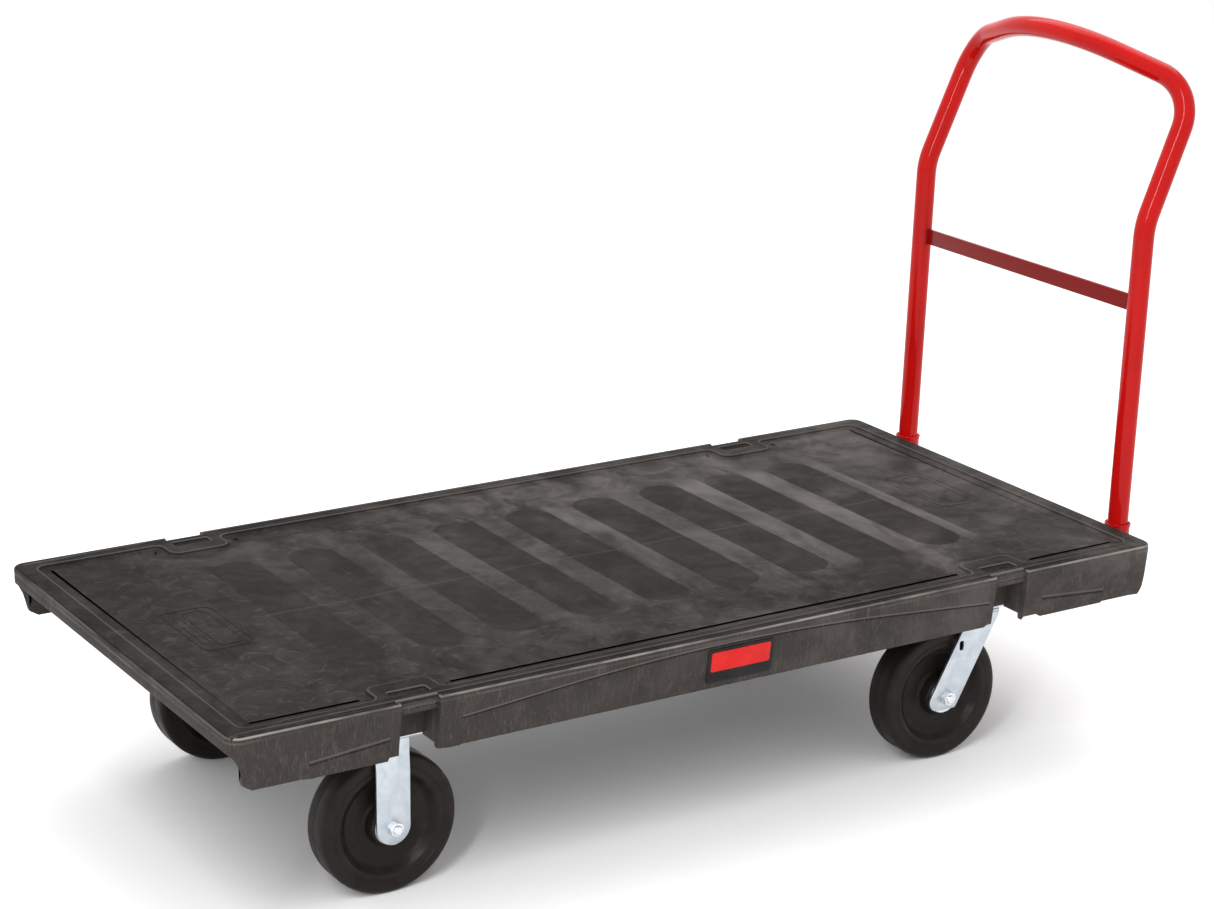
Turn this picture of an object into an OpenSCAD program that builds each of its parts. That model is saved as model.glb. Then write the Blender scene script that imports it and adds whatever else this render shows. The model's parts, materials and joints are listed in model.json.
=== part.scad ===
// Heavy-duty platform truck: moulded deck on steel channels, a tube handle that
// lifts out of two sockets, two fixed and two swivelling wheels.
// +X points to the handle, +Z is up, Z = 0 is the floor. "left" is the -Y side.

/* [Deck] */
// Length of the deck
deck_len = 1524; // [1270:1:1830]
// Width of the deck
deck_wid = 762; // [635:1:915]
// Radius of the deck's four corners in plan
corner_r = 20; // [10:1:40]
// Radius along the deck's top edge
edge_r = 5; // [3:1:8]
// Thickness of the deck plate over its ribs
plate_t = 8.5; // [6:0.5:11]
// Depth of the load area below the rim
recess_d = 3.5; // [2:0.5:5]
// Width of the raised rim
rim_w = 30; // [24:1:40]
// Height of the lip at the two ends
lip_h = 25; // [20:1:32]
// Thickness of the lip at the two ends
lip_t = 24; // [16:1:30]
// Height of the side skirts from the top of the rim
skirt_h = 77; // [70:1:90]
// Thickness of the side skirts at their bottom edge
skirt_t = 10; // [7:1:14]
// How far the skirts lean inward from top to bottom
skirt_lean = 9; // [4:1:12]
// Thickness of the ribs below the deck plate
rib_t = 6; // [4:1:9]
// Depth of the ribs below the deck plate
rib_h = 34; // [20:1:40]
// Spacing of the cross ribs
rib_pitch = 122.7; // [100:0.1:150]

/* [Tie-down slots] */
// Distance from the deck's end to the middle of each slot
tie_inset = 272; // [220:1:300]
// Length of the slots and of the pockets below them
tie_len = 57; // [44:1:70]
// Width of the slots
tie_wid = 21; // [16:1:26]
// Width of the bar left outside each slot
tie_bar_w = 25; // [20:1:30]
// Thickness of the bar
tie_bar_t = 20.5; // [16:0.5:24]
// Wall of the pockets
pocket_wall = 6; // [4:1:8]

/* [Steel channels] */
// Width of each channel
chan_w = 102; // [90:1:120]
// Height of each channel
chan_h = 36; // [25:1:40]
// Thickness of the channel's steel
chan_t = 4; // [3:0.5:6]
// Height of the deck's bosses above the channel's web
pad_h = 57; // [50:1:70]

/* [Casters] */
// Diameter of the wheels
wheel_d = 203.2; // [169:0.1:244]
// Width of the tread
wheel_w = 50.8; // [42:0.1:61]
// Distance from the deck's end to the middle of each caster
caster_inset = 272; // [250:1:330]
// Distance from the deck's side to the middle of each caster
caster_side = 116; // [100:1:130]
// Distance between a swivel's upright axis and its axle
trail = 49; // [40:1:60]
// Gap between the wheel and the metal over it
wheel_gap = 18.8; // [16:0.1:30]
// Thickness of the mounting plates
caster_plate_t = 6; // [5:0.5:8]
// Length of the mounting plates
caster_plate_l = 114; // [108:1:130]
// Width of the mounting plates
caster_plate_w = 102; // [92:1:110]
// Distance between the mounting bolts along the deck
bolt_dx = 92; // [88:1:100]
// Distance between the mounting bolts across the deck
bolt_dy = 67; // [60:1:75]
// Width of the fork legs
leg_w = 50.8; // [42:0.1:61]
// Thickness of the fork legs
leg_t = 5; // [4:0.5:7]
// Diameter of the axle bolts
axle_d = 12.7; // [10:0.1:15.3]
// Outer diameter of the sleeve that the bearing runs on
sleeve_d = 19; // [17:0.1:23]
// Diameter of the rollers in the wheels
roller_d = 6.3; // [5:0.1:7.6]

/* [Handle] */
// Outer diameter of the handle tube
tube_d = 31.8; // [26:0.1:38.2]
// Wall of the handle tube
tube_t = 2; // [1.5:0.1:3]
// Distance of the handle legs from the deck's end, at the deck's top
leg_out = 27; // [25:1:36]
// Distance of the handle legs from the deck's side
leg_side = 114; // [95:1:137]
// Lean of the handle legs away from the deck, in degrees
leg_lean = 1.85; // [0:0.05:5]
// Height of the lower bend above the deck
bend_h = 463; // [380:1:560]
// Lean of the upper legs, in degrees
upper_lean = 24; // [15:1:32]
// Length of the upper legs to the corner
upper_len = 217; // [180:1:260]
// How far each corner is set in from its leg
corner_in = 4.5; // [0:0.5:12]
// How far the middle of the grip comes back towards the deck
grip_back = 86; // [60:1:105]
// How far the middle of the grip rises above the corners
grip_rise = 77; // [60:1:90]
// Bend radius between the lower and upper legs
bend_r = 104; // [85:1:125]
// Bend radius at the corners of the grip
corner_bend_r = 73; // [60:1:88]
// Bend radius at the middle of the grip
grip_r = 340; // [280:1:400]
// Height of the crossbar's middle above the deck
cross_h = 341; // [270:1:360]
// Height of the crossbar's flat
cross_w = 25; // [18:1:32]
// Thickness of the crossbar
cross_t = 6; // [4:0.5:8]
// Depth to which the handle legs stand in their sockets
socket_depth = 95; // [76:1:114]
// Wall of the sockets
socket_t = 3; // [2:0.5:4]

/* [Hidden] */
$fn = 48;
left = -1;
right = 1;
fit = 0.05;
slide_fit = 0.1;
face_gap = 0.3;
eps = 1;
far = 4000;

// Heights, counted up from the floor
axle_z = wheel_d / 2;
yoke_t = 6;
race_gap = 7;
yoke_z = wheel_d + wheel_gap;
plate_z = yoke_z + yoke_t + race_gap;
mount_z = plate_z + caster_plate_t;
web_top_z = mount_z + chan_t;
under_z = web_top_z + pad_h;
panel_z = under_z + plate_t;
deck_z = panel_z + recess_d;
lip_z = deck_z - lip_h;
skirt_z = deck_z - skirt_h;
rib_z = under_z - rib_h;
bar_z = deck_z - tie_bar_t;

// Places along and across the deck, counted from its middle
half_l = deck_len / 2;
half_w = deck_wid / 2;
caster_x = half_l - caster_inset;
caster_y = half_w - caster_side;
tie_x = half_l - tie_inset;
tie_y = half_w - tie_bar_w - tie_wid;
skirt_in = half_w - skirt_lean - skirt_t;

// Skirt face: it starts straight below the edge and then leans inward
skirt_top = 14;
skirt_tilt = atan(skirt_lean / (skirt_h - skirt_top));

// Deck details
overlap = 2;
hem_cut = 3;
lip_cut = 6;
foot_front = 21;
foot_rear = 7;
foot_front_r = 10;
foot_rear_r = 9;
panel_r = 12;
bulge_r = 18;
bulge_l = tie_len + 41;
bulge_w = tie_bar_w + tie_wid + 31;
rib_y = 100;
room = 2;
brk_room = 3;
boss_r = 12;
pad_w = chan_w - 2 * chan_t - 4;
pocket_z = deck_z - 68;

// Panels on the skirts: one is sunk, between two that stand out, below an arch
arch_slope = 0.0865;
arch_bow = 274;
arch_steps = 12;
panel_step = 2;
front_panel = [-tie_x - 160, -tie_x - 44];
mid_panel = [-tie_x + 64, tie_x - 38];
rear_panel = [tie_x + 62, tie_x + 181];

// Plain plate and its coloured field in the sunk panel
side_plate_l = 110;
side_plate_h = 52;
side_plate_r = 5;
side_plate_t = 1.5;
side_plate_drop = 46;
side_plate_x = 14;
inlay_l = 98;
inlay_h = 30;
inlay_r = 3;
inlay_t = 0.6;
inlay_drop = 40;

// Screws and bolts
screw_r = 3;
screw_hex = 10;
screw_dx = 250;
screw_l = 24;
bolt_hex = 14;
head_share = 0.32;
flange_share = 0.66;
flange_t = 1.5;

// Handle places
leg_x = half_l + leg_out;
leg_y = half_w - leg_side;
leg_dir = [sin(leg_lean), 0, cos(leg_lean)];
tube_r = tube_d / 2;
bend_lap = 0.5;
bend_hair = 0.05;
foot_p = [leg_x, leg_y, deck_z] - socket_depth * leg_dir;
bend_p = [leg_x, leg_y, deck_z] + bend_h / cos(leg_lean) * leg_dir;
corner_p = bend_p + [upper_len * sin(upper_lean), -corner_in, upper_len * cos(upper_lean)];
grip_p = [corner_p[0] - grip_back, 0, corner_p[2] + grip_rise];

corner_turn = turn(bend_p, corner_p, grip_p);
corner_cut = corner_bend_r * tan(corner_turn / 2);

// The bow of the grip is as round as asked, or as its half length between the corners allows
grip_run = norm(grip_p - corner_p) - corner_cut - 4;
grip_bow_r = min(grip_r, grip_run / tan(turn(corner_p, grip_p, mirror_y(corner_p)) / 2));

// The origin is under the middle of the whole box, deck and handle together
corner_in_dir = unit(unit(bend_p - corner_p) + unit(grip_p - corner_p));
corner_mid = corner_p + corner_in_dir * corner_bend_r / cos(corner_turn / 2);
corner_axis = unit(cross(corner_p - bend_p, grip_p - corner_p));
reach_x = corner_mid[0] + corner_bend_r * sqrt(1 - pow(corner_axis[0], 2)) + tube_r;
shift_x = -(reach_x - half_l) / 2;

// Caster sizes
hub_half = wheel_w / 2 + 3.5;
inner_half = hub_half + 2.1;
outer_half = inner_half + leg_t;
wheel_bore = sleeve_d / 2 + roller_d + 2 * fit;
roller_n = 10;
roller_in = 2;
cage_l = 3;
cage_half_t = 1.6;
race_r = 30;
ball_n = 16;
ball_r = 4.5;
low_race_r = 16;
low_ball_n = 12;
low_ball_r = 3;
low_cup_r = low_race_r + 5;
dust_r = race_r + 11;
dust_t = 2.5;
caster_plate_r = 8;
groove_d = 1;
low_cup_z = yoke_z + 2 * groove_d - 2 * low_ball_r - 2 * fit;
low_cup_t = 4.4;
kingpin_r = 8;
pin_nut_hex = 26;
pin_nut_h = 8;
pin_end = 2;
leg_angle = 29.1;
leg_slope = tan(leg_angle);
leg_below = 20;
leg_foot_r = 15;
crown_r = race_r + 16;
shoulder_r = 5;
hub_r = 30;
web_half = 11;
face_w = 23;
hub_cut = 3;
washer_r = hub_r - 4;
nut_h = 11;
axle_head_h = 8;
thread_out = 3;
slot_w = 7.6;
slot_h = 14;
slot_in = 11.5;
slot_drop = 43;
upper_ball_z = (plate_z + yoke_z + yoke_t) / 2;
low_ball_z = yoke_z + groove_d - low_ball_r - fit;
hex_axle = 19;
bolt_r = 4.75;
insert_r = 7.5;
insert_l = 25;
bolt_end = 8;

// Handle socket bracket
socket_r = tube_r + slide_fit + socket_t;
brk_w = 90;
brk_t = 5;
brk_x0 = half_l - 112;
brk_x1 = half_l - 52;
brk_dy = 60;
brk_bolt_in = 15;
brk_screw_l = 10;
brk_nose_r = brk_w / 2 - 20;
gusset_h = 62;
socket_floor = 5;
drain_r = 5;
flare = 1.8;
flare_h = 2.5;
chan_end = caster_x + 70;

// ---- Vectors and points -------------------------------------------------

function unit(v) = v / norm(v);
function turn(a, b, c) = acos(unit(b - a) * unit(c - b));
function arc(cx, cy, r, a0, a1, n = 6) =
    [for (i = [0 : n]) let (a = a0 + (a1 - a0) * i / n) [cx + r * cos(a), cy + r * sin(a)]];
function mirror_x(pts) = [for (i = [len(pts) - 1 : -1 : 0]) [-pts[i][0], pts[i][1]]];
function mirror_y(p) = [p[0], -p[1], p[2]];

// ---- Building blocks ----------------------------------------------------

// Moves a child into the shared frame
module in_frame() {
    translate([shift_x, 0, 0]) children();
}

// Rectangle with round corners, centred
module round_rect(l, w, r) {
    square([l - 2 * r, w], center = true);
    square([l, w - 2 * r], center = true);
    for (x = [-1, 1], y = [-1, 1]) translate([x * (l / 2 - r), y * (w / 2 - r)]) circle(r);
}

// Box from its middle in X and Y and its lowest and highest Z
module block(x, y, l, w, z0, z1) {
    translate([x - l / 2, y - w / 2, z0]) cube([l, w, z1 - z0]);
}

// Hexagon bar of a given width across its flats, standing on Z = 0
module hex_bar(across, h) {
    cylinder(r = across / sqrt(3), h = h, $fn = 6);
}

// Ring standing on Z = 0
module ring(r_out, r_in, h) {
    difference() {
        cylinder(r = r_out, h = h);
        translate([0, 0, -eps]) cylinder(r = r_in, h = h + 2 * eps);
    }
}

// Outline in X and Z, drawn out along Y from y0 to y1
module side_view(y0, y1) {
    translate([0, y1, 0]) rotate([90, 0, 0]) linear_extrude(y1 - y0) children();
}

// Child turned so that its Z axis lies along Y, with its base at y
module along_y(y) {
    translate([0, y, 0]) rotate([-90, 0, 0]) children();
}

// Round bar between two points, with a lap past each end that runs into the next bend
module rod(a, b, r, lap_a = 0, lap_b = 0) {
    d = unit(b - a);
    e = unit(cross(d, [0, 1, 0.3]));
    f = cross(d, e);
    multmatrix([[e[0], f[0], d[0], a[0]], [e[1], f[1], d[1], a[1]], [e[2], f[2], d[2], a[2]]])
        translate([0, 0, -lap_a]) cylinder(r = r, h = norm(b - a) + lap_a + lap_b);
}

// Bend of a round bar that comes from a, turns at b with the given radius and goes to c
module elbow(a, b, c, bend, r) {
    u = unit(b - a);
    n = unit(cross(u, c - b));
    m = cross(n, u);
    t = turn(a, b, c);
    o = b - u * bend * tan(t / 2) + m * bend;
    multmatrix([[-m[0], u[0], n[0], o[0]], [-m[1], u[1], n[1], o[1]], [-m[2], u[2], n[2], o[2]]])
        rotate_extrude(angle = t) translate([bend, 0]) circle(r);
}

// Point on the way from b towards a where the bend at b starts
function bend_end(a, b, c, bend) = b + unit(a - b) * bend * tan(turn(a, b, c) / 2);

// Whole handle as one bent bar of radius r; its bends are a hair thicker than its
// straights, which lap into them, and extra lengthens its two feet
module handle_bar(r, extra = 0) {
    corner_l = mirror_y(corner_p);
    for (s = [0, 1]) mirror([0, s, 0]) {
        rod(foot_p, bend_end(foot_p, bend_p, corner_p, bend_r), r, extra, bend_lap);
        elbow(foot_p, bend_p, corner_p, bend_r, r + bend_hair);
        rod(bend_end(corner_p, bend_p, foot_p, bend_r),
            bend_end(bend_p, corner_p, grip_p, corner_bend_r), r, bend_lap, bend_lap);
        elbow(bend_p, corner_p, grip_p, corner_bend_r, r + bend_hair);
        rod(bend_end(grip_p, corner_p, bend_p, corner_bend_r),
            bend_end(corner_p, grip_p, corner_l, grip_bow_r), r, bend_lap, bend_lap);
    }
    elbow(corner_p, grip_p, corner_l, grip_bow_r, r + bend_hair);
}

// ---- Deck ---------------------------------------------------------------

// Side view of the deck: two sloping ends with rounded feet
module deck_side_outline() {
    front_x = -half_l + foot_front;
    rear_x = half_l - foot_rear;
    polygon(concat(
        arc(half_l - edge_r, deck_z - edge_r, edge_r, 0, 90),
        arc(-half_l + edge_r, deck_z - edge_r, edge_r, 90, 180),
        [[-half_l, lip_z], [-half_l + lip_cut, lip_z - lip_cut],
         [-half_l + foot_front - lip_cut, lip_z - 22]],
        arc(front_x + foot_front_r, skirt_z + foot_front_r, foot_front_r, 180, 270),
        arc(rear_x - foot_rear_r, skirt_z + foot_rear_r, foot_rear_r, 270, 360),
        [[half_l, lip_z - 4]]));
}

// End view of the deck: rounded top edges and skirts that lean inward
module deck_end_outline() {
    half = concat(
        [[half_w - skirt_lean - hem_cut, skirt_z], [half_w - skirt_lean, skirt_z + hem_cut],
         [half_w, deck_z - skirt_top]],
        arc(half_w - edge_r, deck_z - edge_r, edge_r, 0, 90));
    polygon(concat(half, mirror_x(half)));
}

// Plan of the load area, which stops short of the rim and of the slots
module load_area() {
    difference() {
        round_rect(deck_len - 2 * rim_w, deck_wid - 2 * rim_w, panel_r);
        for (x = [-1, 1], y = [-1, 1])
            translate([x * tie_x, y * half_w]) round_rect(bulge_l, 2 * bulge_w, bulge_r);
    }
}

// How far the arch on the skirts has come down at a distance x from its middle
function arch_drop(x) = abs(x) < arch_bow
    ? arch_slope * x * x / (2 * arch_bow)
    : arch_slope * (abs(x) - arch_bow / 2);

// Flat layer on the left skirt's leaning face, below the arch, between x0 and x1;
// it reaches from depth_in behind the face to depth_out in front of it
module arch_panel(x0, x1, depth_in, depth_out) {
    curve = [for (i = [0 : arch_steps]) let (x = x0 + (x1 - x0) * i / arch_steps)
        [x, -arch_drop(x)]];
    translate([0, -half_w, deck_z - skirt_top]) rotate([skirt_tilt, 0, 0])
        side_view(-depth_out, depth_in)
            polygon(concat(curve, [[x1, skirt_top - skirt_h + eps], [x0, skirt_top - skirt_h + eps]]));
}

// The given panels on both skirts
module arch_panels(depth_in, depth_out, spans) {
    for (s = [0, 1]) mirror([0, s, 0])
        for (p = spans) arch_panel(p[0], p[1], depth_in, depth_out);
}

module cross_ribs() {
    n = floor((half_l - lip_t) / rib_pitch - 0.5);
    for (i = [-n - 1 : n])
        block((i + 0.5) * rib_pitch, 0, rib_t, 2 * skirt_in + overlap, rib_z, under_z + eps);
}

module long_ribs() {
    for (y = [-rib_y, 0, rib_y])
        block(0, y, 2 * (half_l - lip_t) + overlap, rib_t, rib_z, under_z + eps);
}

// Room that a channel needs among the ribs
module channel_room() {
    for (y = [-1, 1])
        block(0, y * caster_y, 2 * (chan_end + room), chan_w + 2 * room, 0, mount_z + chan_h + room);
}

// Room that the two socket brackets need among the ribs
module bracket_room() {
    for (y = [-1, 1])
        block((brk_x0 + half_l) / 2, y * leg_y, half_l - brk_x0 + 2 * brk_room,
            brk_w + 2 * brk_room, 0, lip_z);
}

// Hollow boss block that stands in the channel over one caster
module caster_pad() {
    difference() {
        block(0, 0, caster_plate_l, pad_w, web_top_z, under_z + eps);
        block(0, 0, caster_plate_l - 2 * rib_t, pad_w - 2 * rib_t, 0, under_z);
    }
    bolt_places() translate([0, 0, web_top_z]) cylinder(r = boss_r, h = pad_h + eps);
}

// The four mounting bolts of one caster
module bolt_places() {
    for (x = [-1, 1], y = [-1, 1])
        translate([x * bolt_dx / 2, y * bolt_dy / 2, 0]) children();
}

// All four casters
module caster_places() {
    for (x = [-1, 1], y = [-1, 1]) translate([x * caster_x, y * caster_y, 0]) children();
}

// The screws that hold both channels between the casters
module channel_screw_places() {
    for (x = [-screw_dx, 0, screw_dx], y = [-1, 1])
        translate([x, y * caster_y, 0]) children();
}

// The four bolts of one socket bracket, counted from the bracket's middle line
module bracket_bolt_places() {
    for (x = [brk_x0 + brk_bolt_in, brk_x1 - brk_bolt_in], s = [-1, 1])
        translate([x, s * brk_dy / 2, 0]) children();
}

module socket_bolt_places() {
    for (y = [-1, 1]) translate([0, y * leg_y, 0]) bracket_bolt_places() children();
}

// The four tie-down slots, each with its outer side towards +Y
module tie_places() {
    for (x = [-1, 1], y = [-1, 1]) translate([x * tie_x, 0, 0]) mirror([0, (1 - y) / 2, 0])
        children();
}

// Deck plate with its rim, lips and skirts, open below
module deck_shell() {
    difference() {
        intersection() {
            linear_extrude(deck_z + eps) round_rect(deck_len, deck_wid, corner_r);
            side_view(-half_w - eps, half_w + eps) deck_side_outline();
            rotate([90, 0, 90]) translate([0, 0, -half_l - eps])
                linear_extrude(deck_len + 2 * eps) deck_end_outline();
        }
        block(0, 0, deck_len + 2 * eps, 2 * skirt_in, 0, lip_z);
        block(0, 0, deck_len - 2 * lip_t, 2 * skirt_in, 0, under_z);
        translate([0, 0, panel_z]) linear_extrude(2 * recess_d) load_area();
    }
}

module deck() {
    color([0.27, 0.26, 0.25]) in_frame() difference() {
        union() {
            deck_shell();
            difference() {
                union() {
                    cross_ribs();
                    long_ribs();
                }
                channel_room();
                bracket_room();
            }
            caster_places() caster_pad();
            channel_screw_places() translate([0, 0, web_top_z]) cylinder(r = boss_r, h = pad_h + eps);
            for (y = [-1, 1])
                block((brk_x0 + brk_x1) / 2, y * leg_y, brk_x1 - brk_x0, brk_w, lip_z, under_z + eps);
            tie_places() block(0, tie_y / 2 + skirt_in / 2 - pocket_wall / 2,
                tie_len + 2 * pocket_wall, skirt_in - tie_y + pocket_wall + overlap,
                pocket_z, under_z + eps);
            arch_panels(eps, panel_step, [front_panel, rear_panel]);
        }
        arch_panels(panel_step, panel_step + eps, [mid_panel]);
        tie_places() {
            block(0, tie_y + far / 2, tie_len, far, 0, bar_z);
            block(0, tie_y + tie_wid / 2, tie_len, tie_wid, 0, deck_z + eps);
        }
        caster_places() bolt_places()
            translate([0, 0, web_top_z - eps]) cylinder(r = insert_r, h = insert_l + bolt_end);
        channel_screw_places() translate([0, 0, web_top_z - eps]) cylinder(r = screw_r, h = screw_l);
        socket_bolt_places() translate([0, 0, lip_z - eps])
            cylinder(r = screw_r, h = brk_screw_l + 2 * eps);
    }
}

// ---- Steel channels and what holds them ---------------------------------

// Steel channel, open upwards, under one long side of the deck
module channel(side) {
    color([0.55, 0.57, 0.6]) in_frame() translate([0, side * caster_y, 0]) difference() {
        block(0, 0, 2 * chan_end, chan_w, mount_z, mount_z + chan_h);
        block(0, 0, 2 * (chan_end + eps), chan_w - 2 * chan_t, web_top_z, far);
        for (x = [-1, 1]) translate([x * caster_x, 0, mount_z - eps]) bolt_places()
            cylinder(r = bolt_r + slide_fit, h = chan_t + 2 * eps);
        for (x = [-screw_dx, 0, screw_dx]) translate([x, 0, mount_z - eps])
            cylinder(r = screw_r + slide_fit, h = chan_t + 2 * eps);
    }
}

// Screw with a flanged hexagon head below z and a shank that goes up
module flange_screw(z, r, across, shank) {
    head = across * head_share;
    translate([0, 0, z - head]) hex_bar(across, head);
    translate([0, 0, z - flange_t]) cylinder(r = across * flange_share, h = flange_t);
    translate([0, 0, z - eps]) cylinder(r = r, h = shank + eps);
}

module channel_screws() {
    color([0.75, 0.76, 0.78]) in_frame() channel_screw_places()
        flange_screw(mount_z, screw_r, screw_hex, screw_l);
}

module caster_bolts() {
    color([0.75, 0.76, 0.78]) in_frame() caster_places() bolt_places()
        flange_screw(plate_z, bolt_r, bolt_hex, caster_plate_t + chan_t + insert_l - eps);
}

// Brass inserts in the deck's bosses, which the caster bolts screw into
module threaded_inserts() {
    color([0.72, 0.58, 0.3]) in_frame() caster_places() bolt_places()
        translate([0, 0, web_top_z]) ring(insert_r, bolt_r, insert_l);
}

// ---- Plain plates on the two sides --------------------------------------

// Child that lies on a skirt's leaning face, drop below the deck's top and depth behind the face
module on_skirt(side, drop, depth) {
    mirror([0, side > 0 ? 1 : 0, 0]) translate([side_plate_x, -half_w, deck_z - skirt_top])
        rotate([skirt_tilt, 0, 0]) translate([0, depth, skirt_top - drop])
        rotate([90, 0, 0]) children();
}

module side_plate(side) {
    color([0.06, 0.06, 0.06]) in_frame() on_skirt(side, side_plate_drop, panel_step)
        linear_extrude(side_plate_t) round_rect(side_plate_l, side_plate_h, side_plate_r);
}

module side_inlay(side) {
    color([0.72, 0.08, 0.07]) in_frame()
        on_skirt(side, inlay_drop, panel_step - side_plate_t)
        linear_extrude(inlay_t) round_rect(inlay_l, inlay_h, inlay_r);
}

// ---- Handle -------------------------------------------------------------

module handle_tube() {
    color([0.78, 0.08, 0.07]) in_frame() difference() {
        handle_bar(tube_r);
        handle_bar(tube_r - tube_t, eps);
    }
}

// Flat bar between the legs, its ends cut round to fit them
module handle_crossbar() {
    color([0.7, 0.07, 0.06]) in_frame() difference() {
        translate([leg_x + cross_h * tan(leg_lean), 0, deck_z + cross_h]) rotate([0, leg_lean, 0])
            cube([cross_t, 2 * leg_y, cross_w], center = true);
        for (s = [-1, 1]) rod([foot_p[0], s * foot_p[1], foot_p[2]],
            [bend_p[0], s * bend_p[1], bend_p[2]], tube_r);
        for (s = [-1, 1]) translate([0, s * (leg_y + far / 2), 0]) cube(far, center = true);
    }
}

// Tube with a flared mouth on a bracket with a gusset, open below so that rain runs out
module handle_socket(side) {
    color([0.78, 0.08, 0.07]) in_frame() translate([0, side * leg_y, 0]) difference() {
        union() {
            translate([leg_x, 0, deck_z]) rotate([0, leg_lean, 0])
                translate([0, 0, -socket_depth - socket_floor])
                cylinder(r = socket_r, h = socket_depth + socket_floor);
            translate([0, 0, lip_z - brk_t]) linear_extrude(brk_t) union() {
                translate([(brk_x0 + leg_x) / 2, 0]) square([leg_x - brk_x0, brk_w], center = true);
                translate([leg_x, 0]) circle(brk_nose_r);
            }
            side_view(-brk_t / 2, brk_t / 2) polygon([[brk_x0 + 10, lip_z - brk_t + eps],
                [leg_x, lip_z - brk_t + eps], [leg_x - 4, lip_z - gusset_h],
                [leg_x - 16, lip_z - gusset_h]]);
        }
        translate([leg_x, 0, deck_z]) rotate([0, leg_lean, 0]) {
            translate([0, 0, -socket_depth]) cylinder(r = tube_r + slide_fit, h = socket_depth + eps);
            translate([0, 0, -flare_h])
                cylinder(r1 = tube_r + slide_fit, r2 = tube_r + flare, h = flare_h + fit);
            translate([0, 0, -far / 2]) cylinder(r = drain_r, h = far / 2 - socket_depth + eps);
        }
        bracket_bolt_places() translate([0, 0, lip_z - brk_t - eps])
            cylinder(r = screw_r + slide_fit, h = brk_t + 2 * eps);
    }
}

module socket_bolts() {
    color([0.75, 0.76, 0.78]) in_frame() socket_bolt_places()
        flange_screw(lip_z - brk_t, screw_r, screw_hex, brk_t + brk_screw_l);
}

// ---- Parts that all four casters share ----------------------------------

// Puts a child on a caster's axle: x and side choose the caster
module at_axle(x, side) {
    in_frame() translate([x, side * caster_y, axle_z]) children();
}

// Bolt with its head on the inner side of the fork and its thread on the outer side
module axle_bolt(x, side) {
    color([0.75, 0.76, 0.78]) at_axle(x, side) mirror([0, side > 0 ? 1 : 0, 0]) {
        along_y(outer_half) hex_bar(hex_axle, axle_head_h);
        along_y(-outer_half - nut_h - thread_out)
            cylinder(r = axle_d / 2, h = 2 * outer_half + nut_h + thread_out + eps);
    }
}

// Nut on the outer side of the fork
module axle_nut(x, side) {
    color([0.78, 0.79, 0.8]) at_axle(x, side) mirror([0, side > 0 ? 1 : 0, 0])
        along_y(-outer_half - nut_h) difference() {
            hex_bar(hex_axle, nut_h);
            translate([0, 0, -eps]) cylinder(r = axle_d / 2, h = nut_h + 2 * eps);
        }
}

// Sleeve that the fork's legs clamp; the wheel's rollers run on it
module axle_sleeve(x, side) {
    color([0.6, 0.61, 0.63]) at_axle(x, side)
        along_y(-inner_half) ring(sleeve_d / 2, axle_d / 2, 2 * inner_half);
}

// Washers between the fork's legs and the wheel's hub
module hub_washers(x, side) {
    color([0.7, 0.71, 0.73]) at_axle(x, side) for (y = [-inner_half, hub_half + face_gap]) {
        along_y(y) ring(washer_r, sleeve_d / 2 + fit, inner_half - hub_half - face_gap);
    }
}

// Half of the wheel's section: radius and half width from the hub to the tread
function wheel_section() = let (w = wheel_w / 2, r = wheel_d / 2, s = shoulder_r) concat(
    [[wheel_bore, hub_half], [hub_r - hub_cut, hub_half], [hub_r, hub_half - hub_cut],
     [hub_r + 3, web_half + 4], [hub_r + 8, web_half], [r - face_w - 18, web_half],
     [r - face_w - 12, web_half + 2], [r - face_w - 6, w - 5], [r - face_w - 3, w - 1.5],
     [r - face_w, w]],
    arc(r - s, w - s, s, 90, 0));

// Wheel with rim, web and hub in one
module wheel(x, side) {
    half = wheel_section();
    under = [for (i = [len(half) - 1 : -1 : 0]) [half[i][0], -half[i][1]]];
    color([0.2, 0.17, 0.16]) at_axle(x, side)
        along_y(0) rotate_extrude($fn = 96) polygon(concat(half, under));
}

// Rollers in the wheel's bore, held together by a thin ring at each end
module rollers(x, side) {
    pitch_r = sleeve_d / 2 + fit + roller_d / 2;
    color([0.65, 0.66, 0.68]) at_axle(x, side) along_y(0) {
        for (i = [1 : roller_n]) rotate(i * 360 / roller_n)
            translate([pitch_r, 0, -hub_half + roller_in])
            cylinder(r = roller_d / 2, h = 2 * (hub_half - roller_in));
        for (z = [-hub_half + eps, hub_half - eps - cage_l]) translate([0, 0, z])
            ring(pitch_r + cage_half_t, pitch_r - cage_half_t, cage_l);
    }
}

// ---- Fixed casters ------------------------------------------------------

// Mounting plate with its four bolt holes
module mount_plate() {
    difference() {
        translate([0, 0, plate_z]) linear_extrude(caster_plate_t)
            round_rect(caster_plate_l, caster_plate_w, caster_plate_r);
        translate([0, 0, plate_z - eps]) bolt_places()
            cylinder(r = bolt_r + slide_fit, h = caster_plate_t + 2 * eps);
    }
}

module rigid_fork(side) {
    color([0.74, 0.78, 0.83]) in_frame() translate([-caster_x, side * caster_y, 0])
        difference() {
            union() {
                mount_plate();
                for (y = [-outer_half, inner_half]) {
                    side_view(y, y + leg_t) translate([-leg_w / 2, axle_z])
                        square([leg_w, plate_z - axle_z + eps]);
                    translate([0, 0, axle_z]) along_y(y) cylinder(r = leg_w / 2, h = leg_t);
                }
            }
            translate([0, 0, axle_z]) along_y(-far / 2) cylinder(r = axle_d / 2, h = far);
        }
}

// ---- Swivelling casters -------------------------------------------------

module at_kingpin(side) {
    in_frame() translate([caster_x, side * caster_y, 0]) children();
}

// Round groove that a ring of balls runs in
module groove(ring_r, z, r) {
    translate([0, 0, z]) rotate_extrude() translate([ring_r, 0]) circle(r);
}

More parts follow.
